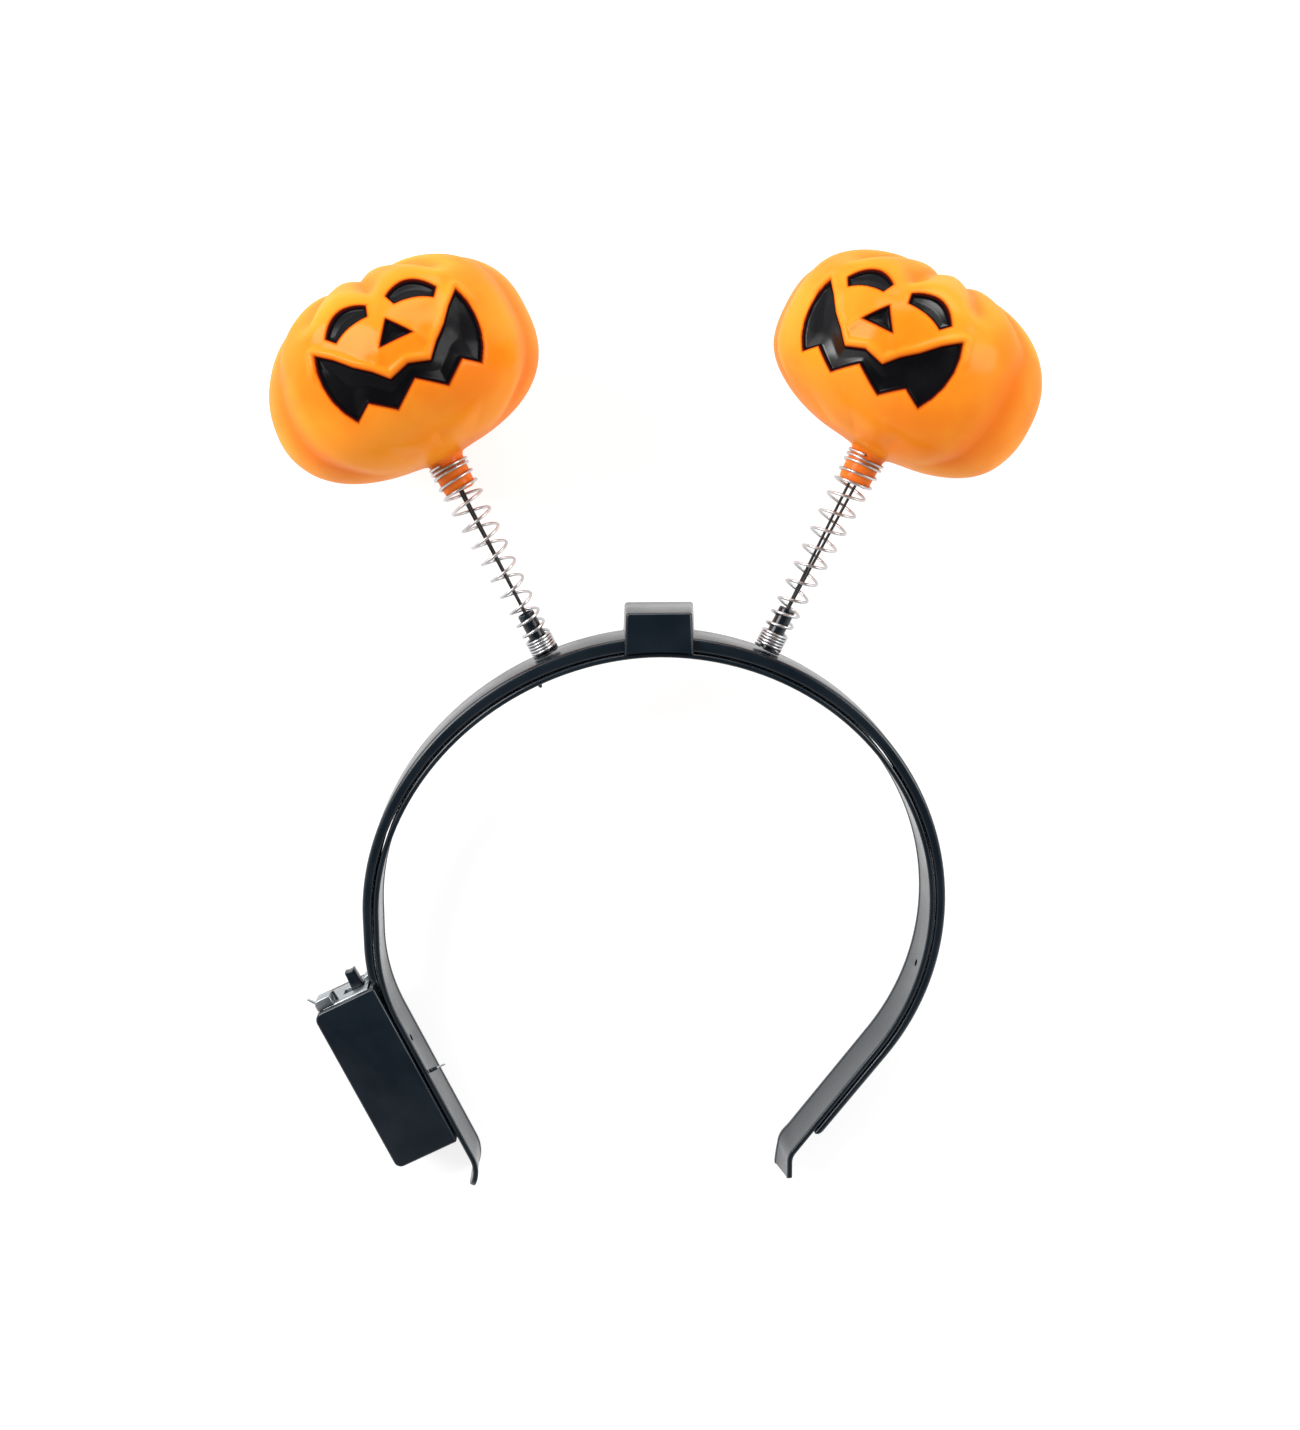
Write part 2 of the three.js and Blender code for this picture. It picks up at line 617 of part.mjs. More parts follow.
// A point of the pumpkin's skin: ringDeg from its bottom to its top, around from the face, inset inwards
function pumpkinPoint(ringDeg, aroundDeg, inset) {
  const ring = degToRad(ringDeg);
  const power = 2 / PUMPKIN_SQUARENESS;
  const reach = (PUMPKIN_RADIUS - inset) * Math.cos(ring) ** power;
  const rise = (PUMPKIN_HALF_HEIGHT - inset) * Math.sign(ring) * Math.abs(Math.sin(ring)) ** power;
  const dimple = ringDeg > 0 ? TOP_DIMPLE.depth * Math.exp(-((reach / TOP_DIMPLE.radius) ** 2)) : 0;
  const away = Math.abs(aroundDeg);
  const onFace =
    (1 - smoothstep(away, FACE_SMOOTH_DEG.full, FACE_SMOOTH_DEG.none)) *
    (1 - smoothstep(rise, FACE_SMOOTH_HEIGHT.full, FACE_SMOOTH_HEIGHT.none));
  const crease = (1 - Math.abs(Math.sin(degToRad((aroundDeg * LOBES) / 2)))) ** 1.5;
  const poles = smoothstep(reach, 4, 13);
  const keep = 1 - (CREASE_DEPTH * crease * poles * (1 - onFace)) / PUMPKIN_RADIUS;
  const around = degToRad(aroundDeg);
  return new THREE.Vector3(
    reach * keep * Math.sin(around),
    (rise - dimple) * keep,
    reach * keep * Math.cos(around),
  );
}

function pumpkinRing(ringDeg, inset) {
  return Array.from({ length: PUMPKIN_SIDES }, (_, i) => {
    const around = (i * 360) / PUMPKIN_SIDES;
    return pumpkinPoint(ringDeg, around > 180 ? around - 360 : around, inset);
  });
}

function roundRing(radius, y) {
  return Array.from({ length: PUMPKIN_SIDES }, (_, i) => {
    const around = (i * Math.PI * 2) / PUMPKIN_SIDES;
    return new THREE.Vector3(radius * Math.sin(around), y, radius * Math.cos(around));
  });
}

// Where the neck meets the pumpkin and where it ends, below the pumpkin's middle
const neckRoot = 0.5 - PUMPKIN_HALF_HEIGHT;
const neckEnd = neckRoot - NECK.length;

function pumpkinShellSolid() {
  const inside = INNER_RINGS_DEG.map((deg) => pumpkinRing(deg, PUMPKIN_WALL)).reverse();
  const outside = OUTER_RINGS_DEG.map((deg) => pumpkinRing(deg, 0));
  const neck = [
    roundRing(NECK.bore, neckRoot + PUMPKIN_WALL),
    roundRing(NECK.bore, neckEnd + NECK.boreRim),
    roundRing(NECK.bore + NECK.boreRim, neckEnd),
    roundRing(NECK.endRadius, neckEnd),
    roundRing(NECK.rootRadius, neckRoot),
  ];
  const innerTop = [pumpkinPoint(90, 0, PUMPKIN_WALL)];
  const outerTop = [pumpkinPoint(90, 0, 0)];
  return solidOf(loft([innerTop, ...inside, ...neck, ...outside, outerTop]));
}

// The pumpkin's outer form at the depth of the face's recesses
function pumpkinCoreSolid() {
  const rings = OUTER_RINGS_DEG.map((deg) => pumpkinRing(deg, FACE_RECESS));
  return solidOf(loft([[pumpkinPoint(-90, 0, FACE_RECESS)], ...rings, [pumpkinPoint(90, 0, FACE_RECESS)]]));
}

function eyeShape(side) {
  const at = ([u, v]) => [side * u, v];
  const shape = new THREE.Shape();
  shape.moveTo(...at(EYE.innerTop));
  shape.quadraticCurveTo(...at(EYE.browPull), ...at(EYE.outerTop));
  shape.lineTo(...at(EYE.outerBottom));
  shape.quadraticCurveTo(...at(EYE.lidPull), ...at(EYE.innerBottom));
  return shape;
}

function noseShape() {
  const shape = new THREE.Shape();
  shape.moveTo(-NOSE.halfWidth, NOSE.bottom);
  shape.lineTo(NOSE.halfWidth, NOSE.bottom);
  shape.lineTo(0, NOSE.top);
  return shape;
}

function grinShape() {
  const right = GRIN_HALF.map(({ u, v }) => new THREE.Vector2(u, v));
  const left = GRIN_HALF.map(({ u, v }) => new THREE.Vector2(-u, v)).reverse();
  const lip = new THREE.Vector2(0, GRIN_LIP_MIDDLE);
  const teeth = new THREE.Vector2(0, GRIN_TEETH_MIDDLE);
  return new THREE.Shape([lip, ...right, teeth, ...left]);
}

function pumpkinSolid() {
  const core = pumpkinCoreSolid();
  let shell = pumpkinShellSolid();
  for (const shape of [eyeShape(-1), eyeShape(1), noseShape(), grinShape()]) {
    const depth = PUMPKIN_RADIUS;
    const punch = slabSolid(shape, depth).translate([0, FACE_HEIGHT, 10 + depth / 2]);
    shell = shell.subtract(punch.subtract(core));
  }
  return shell;
}

// One bopper: post, spring and leads about +Y, and the pumpkin on its turned neck
function bopper(side, row) {
  const { neckDeg, nodDeg, yawDeg, leadDeg } = PUMPKINS[side];
  const group = new THREE.Group();
  group.name = `bopper_${side}`;
  const { x, y, nx, ny } = crownStation(row.crownDeg);
  const reach = STRIP_THICKNESS + GAP + CHANNEL_HEIGHT_CROWN;
  group.position.set(x + nx * reach, y + ny * reach, 0);
  group.rotation.x = degToRad(row.forwardDeg);
  group.rotation.z = -row.sign * degToRad(row.leanDeg);
  const neck = new THREE.Group();
  neck.name = `neck_${side}`;
  neck.position.y = row.springLength;
  neck.rotation.x = -degToRad(nodDeg);
  neck.rotation.z = -row.sign * degToRad(neckDeg);
  const neckTurn = neck.quaternion;
  addMesh(group, `spring_post_${side}`, springPostSolid(row.postFoot), BLACK_PLASTIC);
  const coil = new CoilCurve(row.springLength, neckTurn);
  const coilSteps = Math.round(coil.turns * COIL_STEPS_PER_TURN);
  addMesh(group, `spring_${side}`, wireSolid(coil, WIRE_RADIUS, COIL_SIDES, coilSteps), STEEL_WIRE);
  const leads = { a: -1, b: 1 };
  for (const [letter, leadSide] of Object.entries(leads)) {
    const lead = new LeadCurve(leadSide, row.sign * degToRad(leadDeg), row.springLength, neckTurn);
    const solid = wireSolid(lead, LEAD.radius, LEAD.sides, LEAD.steps);
    addMesh(group, `lead_${side}_${letter}`, solid, LEAD_PLASTIC);
  }
  const pumpkin = addMesh(neck, `pumpkin_${side}`, pumpkinSolid(), ORANGE_PLASTIC);
  pumpkin.position.y = -neckEnd;
  pumpkin.rotation.y = -row.sign * degToRad(yawDeg);
  group.add(neck);
  return group;
}

// The battery box and its switch, in the frame of the left arm's straight run
function batteryGroup() {
  const group = new THREE.Group();
  group.name = "battery";
  const middle = armStation(ARMS.left, bendEndRun(ARMS.left) + BOX_BELOW_BEND);
  group.position.set(middle.x, middle.y, 0);
  group.rotation.z = degToRad(ARMS.left.leanDeg);
  addMesh(group, "battery_box", batteryBoxSolid(), BLACK_PLASTIC);
  addMesh(group, "switch_plate", switchPlateSolid(), GREY_METAL);
  addMesh(group, "switch_knob", switchKnobSolid(), BLACK_PLASTIC);
  addMesh(group, "contact_pin", contactPinSolid(), BLACK_PLASTIC);
  addMesh(group, "contact_wire", contactWireSolid(), GREY_METAL);
  addMesh(group, "box_pin", boxPinSolid(), GREY_METAL);
  return group;
}

const headband = new THREE.Group();
addMesh(headband, "band_strip", bandStripSolid(), BLACK_PLASTIC);
addMesh(headband, "band_channel", bandChannelSolid(), BLACK_PLASTIC);
addMesh(headband, "center_housing", centerHousingSolid(), BLACK_PLASTIC);
headband.add(batteryGroup());
for (const [side, row] of Object.entries(BOPPERS)) headband.add(bopper(side, row));

// Laid on its back, with the middle of its outline on the origin and its lowest points on Z = 0
headband.rotation.x = degToRad(REST_TILT_DEG);
const part = new THREE.Group();
part.add(headband);
part.updateMatrixWorld(true);
const outline = new THREE.Box3().setFromObject(part, true);
const middle = outline.getCenter(new THREE.Vector3());
headband.position.set(-middle.x, -middle.y, -outline.min.z);

export default part;
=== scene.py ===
# %% [markdown]
# This lesson dresses a light-up pumpkin headband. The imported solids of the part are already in
# place: they say where every piece sits and how it moves. Each visible piece is modelled here again
# in finer form, on exactly the same spot, and given a finish that follows the real one.

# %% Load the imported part
import math

import bmesh
import bpy
import numpy as np
from mathutils import Matrix, Quaternion, Vector


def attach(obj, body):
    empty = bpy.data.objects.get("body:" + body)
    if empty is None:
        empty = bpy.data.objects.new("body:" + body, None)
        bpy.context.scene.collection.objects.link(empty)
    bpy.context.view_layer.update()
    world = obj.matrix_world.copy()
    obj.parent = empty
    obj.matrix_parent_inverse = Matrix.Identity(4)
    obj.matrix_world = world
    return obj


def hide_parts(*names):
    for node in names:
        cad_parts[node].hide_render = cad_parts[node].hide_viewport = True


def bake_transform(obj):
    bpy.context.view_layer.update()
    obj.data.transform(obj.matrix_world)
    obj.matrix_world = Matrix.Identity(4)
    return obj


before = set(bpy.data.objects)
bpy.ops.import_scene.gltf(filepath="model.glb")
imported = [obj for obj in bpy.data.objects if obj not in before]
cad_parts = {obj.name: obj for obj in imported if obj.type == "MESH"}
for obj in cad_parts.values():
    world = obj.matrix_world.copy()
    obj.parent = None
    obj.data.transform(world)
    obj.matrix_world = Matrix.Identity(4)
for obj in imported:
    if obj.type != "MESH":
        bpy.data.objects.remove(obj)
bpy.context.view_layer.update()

# %% [markdown]
# The headband lies on its back on a table. Its band is easiest to think of flat: X across the head,
# Y towards the crown and Z out of the front. One matrix tilts that flat drawing back and drops it
# on the floor. Pieces are modelled in millimetres, so the same matrix also shrinks them to metres.
# The crown's inner face is nearly half an ellipse, a little flatter on its left shoulder, and a
# formula gives any point of it with its outward normal.

# %% The band's frame and the crown's curve
MILLIMETRES = Matrix.Scale(0.001, 4)
REST_TILT = math.radians(7.27)
BAND_CENTRE = Vector((-0.414, -41.083, 15.357))
band_frame = MILLIMETRES @ Matrix.Translation(BAND_CENTRE) @ Matrix.Rotation(REST_TILT, 4, "X")

LEFT, RIGHT = -1, 1
CROWN_RISE = 61.1
CROWN_SIDES = {LEFT: {"half_width": 65.5, "power": 1.92}, RIGHT: {"half_width": 64.5, "power": 2.0}}


def crown_station(deg):
    """A point of the crown's inner face and its normal, as x, y, nx, ny; 0 is the right side."""
    side = LEFT if deg > 90 else RIGHT
    half_width, power = CROWN_SIDES[side].values()
    across = abs(math.cos(math.radians(deg))) ** (2 / power)
    rise = abs(math.sin(math.radians(deg))) ** (2 / power)
    slope = Vector((side * across ** (power - 1) / half_width, rise ** (power - 1) / CROWN_RISE))
    return side * half_width * across, CROWN_RISE * rise, *slope.normalized()


print("crown top at", [round(x, 4) for x in band_frame @ Vector((0.0, CROWN_RISE, 0.0))])

# %% [markdown]
# The two boppers stand on the outside of the crown and lean outwards; the left one also leans
# forward, and its pumpkin nods back again. Both faces turn inwards. A frame at the foot of each
# spring, one at the neck and one in the middle of the pumpkin are enough to model all their pieces
# upright. The table holds, in degrees and millimetres, where each stands on the crown, how its spring
# leans and how long it is, how the neck sits on it, how far the face turns, how the leads twist, and
# how far the pumpkin's outer side is pressed in and its body leans in.

# %% Frames of the two boppers
STRIP_THICKNESS, SEAM, CHANNEL_HEIGHT = 1.3, 0.3, 3.3
BAND_HEIGHT = STRIP_THICKNESS + SEAM + CHANNEL_HEIGHT
NECK_END_BELOW_MIDDLE = 29.7
BOPPERS = {
    "left": {
        "sign": LEFT, "crown": 112.2, "lean": 26.2, "forward": 3.8, "spring": 42.3, "post_foot": 0.29,
        "neck_bend": 0.0, "nod": 8.7, "face_yaw": 10.2, "lead_twist": 15.0,
        "outer_press": 2.3, "lean_in": 0.0,
    },
    "right": {
        "sign": RIGHT, "crown": 68.4, "lean": 26.6, "forward": 0.0, "spring": 43.0, "post_foot": 0.25,
        "neck_bend": 0.4, "nod": 0.0, "face_yaw": 27.0, "lead_twist": 80.0,
        "outer_press": 0.6, "lean_in": 1.8,
    },
}


def turned_by(x_deg, z_deg):
    return Matrix.Rotation(math.radians(x_deg), 4, "X") @ Matrix.Rotation(math.radians(z_deg), 4, "Z")


def up_by(height):
    return Matrix.Translation((0.0, height, 0.0))


for side, row in BOPPERS.items():
    turn = -row["sign"]
    x, y, nx, ny = crown_station(row["crown"])
    foot = Matrix.Translation((x + nx * BAND_HEIGHT, y + ny * BAND_HEIGHT, 0.0))
    row["spring_frame"] = band_frame @ foot @ turned_by(row["forward"], turn * row["lean"])
    row["neck_turn"] = turned_by(-row["nod"], turn * row["neck_bend"])
    row["neck_frame"] = row["spring_frame"] @ up_by(row["spring"]) @ row["neck_turn"]
    yaw = Matrix.Rotation(turn * math.radians(row["face_yaw"]), 4, "Y")
    row["pumpkin_frame"] = row["neck_frame"] @ up_by(NECK_END_BELOW_MIDDLE) @ yaw
    print(side, "pumpkin middle at", [round(x, 4) for x in row["pumpkin_frame"].translation])

# %% [markdown]
# The camera stands almost straight over the band, a little towards the crown, about 40 cm away. Its
# direction was worked out from how the band's width narrows from the crown to the tips.

# %% Camera
IMAGE_HEIGHT, FOCAL_PIXELS, SENSOR_HEIGHT = 1430, 1775, 36.0
CAMERA_PLACE = Vector((-21.7, 134.2, 405.0))
CAMERA_RIGHT, CAMERA_UP = Vector((0.9988, 0.0, 0.0495)), Vector((0.0105, 0.9773, -0.2117))
camera_data = bpy.data.cameras.new("photo_camera")
camera_data.sensor_fit = "VERTICAL"
camera_data.sensor_height = SENSOR_HEIGHT
camera_data.lens = FOCAL_PIXELS / IMAGE_HEIGHT * SENSOR_HEIGHT
camera_data.clip_start = 0.01
camera = bpy.data.objects.new("photo_camera", camera_data)
bpy.context.scene.collection.objects.link(camera)
back = CAMERA_RIGHT.cross(CAMERA_UP).normalized()
camera_axes = CAMERA_RIGHT.normalized(), back.cross(CAMERA_RIGHT).normalized(), back
flat_camera = Matrix.Translation(CAMERA_PLACE) @ Matrix(camera_axes).transposed().to_4x4()
in_metres = band_frame @ flat_camera
camera.matrix_world = Matrix.LocRotScale(in_metres.translation, in_metres.to_quaternion(), None)
bpy.context.scene.camera = camera
print("camera at", [round(x, 3) for x in camera.location])

# %% [markdown]
# Each pumpkin is a blow-moulded ball of orange plastic, wider than tall, with ten soft lobes, a neck
# that plugs into the spring, and a face pressed into its front. The real mould was carved, so the
# piece is made as a carver would: a ball primitive with many segments is pushed into the pumpkin's
# profile ring by ring, and then carved in and built out. The segments are packed closer on the face,
# where edges are sharp, and wider at the back.

# %% Pumpkin profile, from inside the neck's bore round to the top
PUMPKIN_RADIUS, PUMPKIN_HALF_HEIGHT, SQUARENESS = 31.3, 21.4, 2.5
DIMPLE_DEPTH, DIMPLE_WIDTH = 2.5, 7.0
BODY_FROM_DEG, BODY_POINTS = -79.0, 900
NECK_BORE = [(0, -24), (1.7, -24), (1.7, -29.3), (1.85, -29.6)]
NECK_END = [(2.2, -29.7), (2.7, -29.7), (3.3, -29.5), (3.6, -29.1)]
NECK_SIDE = [(3.7, -28.6), (3.88, -22.8), (4.05, -22.1), (4.5, -21.7), (5.4, -21.5)]
PUMPKIN_SEGMENTS, PUMPKIN_RINGS = 288, 190
RING_DENSITY, EXTRA_ON_FACE = 1.3, 2.2
CLOSE_RINGS_FROM, CLOSE_RINGS_TO = (-13, -10), (16, 20)


def ease(value, low, high):
    share = np.clip((value - low) / (high - low), 0.0, 1.0)
    return share * share * (3.0 - 2.0 * share)


def pumpkin_profile():
    angle = np.radians(np.linspace(BODY_FROM_DEG, 90.0, BODY_POINTS))
    reach = PUMPKIN_RADIUS * np.clip(np.cos(angle), 0, 1) ** (2 / SQUARENESS)
    height = PUMPKIN_HALF_HEIGHT * np.sign(angle) * np.abs(np.sin(angle)) ** (2 / SQUARENESS)
    dimple = DIMPLE_DEPTH * np.exp(-((reach / DIMPLE_WIDTH) ** 2))
    height = np.where(angle > 0, height - dimple, height)
    neck = np.array(NECK_BORE + NECK_END + NECK_SIDE, float)
    return np.vstack([neck, np.column_stack([reach, height])])


def ring_places(profile):
    """Spreads the rings along the profile, closer together on the face."""
    step = np.hypot(*np.diff(profile, axis=0).T)
    height = (profile[1:, 1] + profile[:-1, 1]) / 2
    on_face = ease(height, *CLOSE_RINGS_FROM) * (1 - ease(height, *CLOSE_RINGS_TO))
    run = np.concatenate([[0], np.cumsum(step * (RING_DENSITY + EXTRA_ON_FACE * on_face))])
    wanted = np.linspace(0, run[-1], PUMPKIN_RINGS + 1)
    return np.column_stack([np.interp(wanted, run, column) for column in profile.T])


rings = ring_places(pumpkin_profile())
print("pumpkin profile:", len(rings), "rings, widest", round(rings[:, 0].max(), 2), "mm")

# %% [markdown]
# The face has two arched eyes, a triangle of a nose and a wide grin whose lower edge is cut into
# fangs. Their outlines are the ones that the solid part uses, in millimetres from the nose, and the
# halves of the face are alike. Knowing how far a point lies from an outline is enough to carve with:
# inside it the plastic sinks, and just outside it stands a soft lip. The same distance later says
# where the black paint ends.

# %% Face outlines and the distance to them
FACE_HEIGHT = 4.0
BROW_ARCH = (2.2, 7.6), (8.3, 11.8), (12.8, 5.3)
LID_ARCH = (11.2, 3.4), (8.0, 5.6), (3.0, 5.2)
GRIN_MIDDLE_TOP, GRIN_MIDDLE_FOOT = (0.0, -6.8), (0.0, -10.0)
GRIN_LIP = [(4.5, -8.1), (7.2, -5.2), (10.3, -2.6), (13.2, 0.6), (16.3, 3.4)]
GRIN_CHEEK = [(17.3, 0.3), (17.7, -3.0), (17.3, -6.6), (16.2, -9.8)]
GRIN_FANGS = [(14.4, -12.8), (10.8, -10.4), (5.8, -14.2)]
NOSE = [(-3.7, -1.7), (3.7, -1.7), (0.0, 3.1)]
CHEEK_FOLD = [(4.1, -2.2), (5.9, -5.0)]
FAR_AWAY = 1e9


def arch(start, pull, end, count=12):
    """Points of a curve from start to end that leans towards pull."""
    t = np.linspace(0, 1, count)[:, None]
    start, pull, end = np.array(start), np.array(pull), np.array(end)
    return (1 - t) ** 2 * start + 2 * t * (1 - t) * pull + t**2 * end


def outline_distance(points, outline):
    """How far points lie from a closed outline; inside it is negative."""
    nearest = np.full(len(points), FAR_AWAY)
    inside = np.zeros(len(points), bool)
    for start, end in zip(outline, np.roll(outline, -1, axis=0)):
        edge = end - start
        rel = points - start
        share = np.clip(rel @ edge / (edge @ edge), 0, 1)
        nearest = np.minimum(nearest, np.hypot(*(rel - share[:, None] * edge).T))
        crosses = (start[1] > points[:, 1]) != (end[1] > points[:, 1])
        with np.errstate(divide="ignore", invalid="ignore"):
            where = start[0] + (points[:, 1] - start[1]) / (end[1] - start[1]) * edge[0]
        inside ^= crosses & (points[:, 0] < where)
    return np.where(inside, -nearest, nearest)


eye_outline = np.vstack([arch(*BROW_ARCH), arch(*LID_ARCH)])
nose_outline, cheek_line = np.array(NOSE), np.array(CHEEK_FOLD)
grin_half = np.array(GRIN_LIP + GRIN_CHEEK + GRIN_FANGS)
other_half = (grin_half * [-1, 1])[::-1]
grin_outline = np.vstack([GRIN_MIDDLE_TOP, grin_half, GRIN_MIDDLE_FOOT, other_half])
print("grin corners:", len(grin_outline), "eye points:", len(eye_outline))

# %% [markdown]
# Carving starts with the lobes. They sink along ten creases that fade out under the face, at the top
# and near the neck, and that crowd forwards a little at the sides. A crease is a soft V across the
# angle round the pumpkin, so one formula serves all ten.

# %% Creases between the lobes
LOBE_DEG, CROWDING_DEG = 36.0, 10.0
CREASE_SOFTNESS, CREASE_POWER = 0.05, 1.8
CROWDED_BELOW = (6, 16)
FACE_SIDES_DEG, FACE_TOP, FACE_FOOT = (40, 56), (11, 17), (-24, -13)
TOP_FADE, FOOT_FADE = (2, 9), (12, 25)


def lobe_creases(around_deg, reach, height):
    """How much of a crease there is at each point, from 0 to 1."""
    crowding = CROWDING_DEG * np.sin(2 * np.radians(around_deg)) * (1 - ease(height, *CROWDED_BELOW))
    lobe = (around_deg + crowding) / LOBE_DEG
    beside = np.abs(lobe - np.round(lobe))
    groove = np.clip(1 - 2 * np.hypot(beside, CREASE_SOFTNESS), 0, 1) ** CREASE_POWER
    on_face = (1 - ease(np.abs(around_deg), *FACE_SIDES_DEG)) * (1 - ease(height, *FACE_TOP))
    on_face *= ease(height, *FACE_FOOT)
    fade = np.where(height > 0, ease(reach, *TOP_FADE), ease(reach, *FOOT_FADE))
    return groove * (1 - on_face) * fade


print("creases:", round(360 / LOBE_DEG))

# %% [markdown]
# The face comes next: broad brows with a furrow between them, hollow cheeks with a fold beside the
# nose, and a thin lip over the grin. Each is a ridge, a soft bell curve over the distance to an
# outline, and where raised ones meet the highest wins, as in clay.

# %% Relief of the face
FRONT_FROM, BEHIND = 4.0, 30.0
BROW = {"rise": 0.8, "off_eye": 2.4, "width": 2.1, "above": (5.0, 9.0)}
LIP = {"rise": 0.55, "off_grin": 0.95, "width": 0.7, "left_below": 0.15, "upper": (-1.0, 1.5)}
GRIN_MIDDLE = {"across": [0, 6, 10, 13, 16.5], "above": [-8.1, -10, -7.2, -6, -1]}
FOLD = {"rise": 0.3, "width": 0.9}
HOLLOW = {"depth": 0.4, "across": (8.5, 3.2), "above": (1.6, 2.4)}
FURROW = {"depth": 0.6, "across": (0.0, 1.7), "above": (4.0, 8.0), "fades": (17, 20)}


def ridge(distance, at, width):
    return np.exp(-(((distance - at) / width) ** 2))


def face_distances(x, z, height):
    """How far each point lies from the eyes, the nose, the grin and the cheek folds."""
    face = np.column_stack([x, height - FACE_HEIGHT])
    half_face = np.column_stack([np.abs(x), height - FACE_HEIGHT])
    behind = np.where(z > FRONT_FROM, 0.0, BEHIND)
    outlines = [(half_face, eye_outline), (face, nose_outline), (face, grin_outline), (half_face, cheek_line)]
    return [outline_distance(points, outline) + behind for points, outline in outlines]


def face_relief(x, z, height, eyes, grin, cheek):
    """How far the face's rims stand up, and how deep it is dented, in millimetres."""
    across, above, front = np.abs(x), height - FACE_HEIGHT, z > FRONT_FROM
    brow = ridge(eyes, BROW["off_eye"], BROW["width"]) * ease(above, *BROW["above"])
    grin_middle = np.interp(across, GRIN_MIDDLE["across"], GRIN_MIDDLE["above"])
    upper = ease(above - grin_middle, *LIP["upper"])
    lip = ridge(grin, LIP["off_grin"], LIP["width"]) * (LIP["left_below"] + (1 - LIP["left_below"]) * upper)
    fold = ridge(cheek, 0.0, FOLD["width"])
    raised = np.maximum.reduce([BROW["rise"] * brow, LIP["rise"] * lip, FOLD["rise"] * fold])
    hollow = ridge(across, *HOLLOW["across"]) * ridge(above, *HOLLOW["above"]) * front
    furrow = ridge(x, *FURROW["across"]) * ease(above, *FURROW["above"]) * front
    furrow *= 1 - ease(height, *FURROW["fades"])
    return raised, HOLLOW["depth"] * hollow + FURROW["depth"] * furrow


print("relief from", -FURROW["depth"], "to", BROW["rise"], "mm")

# %% [markdown]
# No two blown shells come out alike. Each was pressed in a little on its outer side, and the right
# one sits askew on its neck, nearer the middle. Both are a push straight towards the other pumpkin,
# so they are worked out in one place, in the pumpkin's own leaning frame.

# %% Push a shell out of true
PRESSED_BEYOND, PRESSED_ABOVE, BODY_ABOVE = (14, 32), (-20, 0), (-22, -8)


def pushed_in(row, around, reach, height):
    """The push on each point of a shell, in millimetres."""
    outwards, lean = math.radians(row["sign"] * (90.0 + row["face_yaw"])), math.radians(row["lean"])
    out = reach * np.cos(around - outwards)
    sideways = out * math.cos(lean) + height * math.sin(lean)
    upwards = height * math.cos(lean) - out * math.sin(lean)
    push = row["outer_press"] * ease(sideways, *PRESSED_BEYOND) * ease(upwards, *PRESSED_ABOVE)
    push += row["lean_in"] * ease(height, *BODY_ABOVE)
    way = [math.cos(lean) * math.sin(outwards), math.sin(lean), math.cos(lean) * math.cos(outwards)]
    return -push[:, None] * np.array(way)


print("pressed in by", {side: row["outer_press"] for side, row in BOPPERS.items()}, "mm")

# %% [markdown]
# Now the carving itself. The sunken features have a short wall, and floors that slope in from their
# edges, so that they meet in facets and throw streaks of light. Last, the middle of the face swells
# out as a whole. What the carving knows is kept as marks for the paint: how far the paint's edge is,
# and where creases, rims and the neck are.

# %% Carve a shell
CREASE_DEPTH = 1.5
RECESS = {"depth": 0.6, "wall": 0.45, "smooth_from": 0.5, "slope": 0.16, "sloped": 4.0}
SNOUT = {"rise": 1.6, "across": (0.0, 8.0), "above": (-2.0, 7.0)}
NECK_ROOT, PAINT_REACH = (-23, -20.4), 3


def carve(row, around_deg, reach, height, normal_reach, normal_height):
    """Where the carved points lie, and the marks that the paint follows."""
    around = np.radians(around_deg)
    x, z = reach * np.sin(around), reach * np.cos(around)
    crease = lobe_creases(around_deg, reach, height)
    eyes, nose, grin, cheek = face_distances(x, z, height)
    raised, dented = face_relief(x, z, height, eyes, grin, cheek)
    paint = np.minimum.reduce([eyes, nose, grin])
    sunk = np.clip(-paint, 0, None)
    carved = (raised - dented - CREASE_DEPTH * crease) * (1 - ease(sunk, 0, RECESS["smooth_from"]))
    carved -= RECESS["depth"] * ease(sunk, 0, RECESS["wall"])
    carved -= RECESS["slope"] * np.clip(sunk, 0, RECESS["sloped"])
    snout = ridge(x, *SNOUT["across"]) * ridge(height - FACE_HEIGHT, *SNOUT["above"])
    carved += SNOUT["rise"] * snout * (z > FRONT_FROM)

    out_reach, out_height = reach + normal_reach * carved, height + normal_height * carved
    place = np.column_stack([out_reach * np.sin(around), out_height, out_reach * np.cos(around)])
    marks = {"paint": np.clip(paint, -PAINT_REACH, PAINT_REACH), "crease": crease, "rim": raised}
    marks["neck"] = 1 - ease(height, *NECK_ROOT)
    return place + pushed_in(row, around, reach, height), marks


print("features sink up to", RECESS["depth"] + RECESS["slope"] * RECESS["sloped"], "mm")

# %% [markdown]
# A ball primitive brings the rings and segments. Each of its points is told by its own place which
# ring and which angle it belongs to, and is set down where the carving says. The finished piece is
# then moved to its spot on the neck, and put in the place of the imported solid.

# %% Both pumpkins
FACE_CROWDING = 0.58


def begin():
    if bpy.context.object and bpy.context.object.mode != "OBJECT":
        bpy.ops.object.mode_set(mode="OBJECT")
    bpy.ops.object.select_all(action="DESELECT")


def take_up(piece):
    """Selects one piece alone and makes it the active one."""
    begin()
    piece.select_set(True)
    bpy.context.view_layer.objects.active = piece


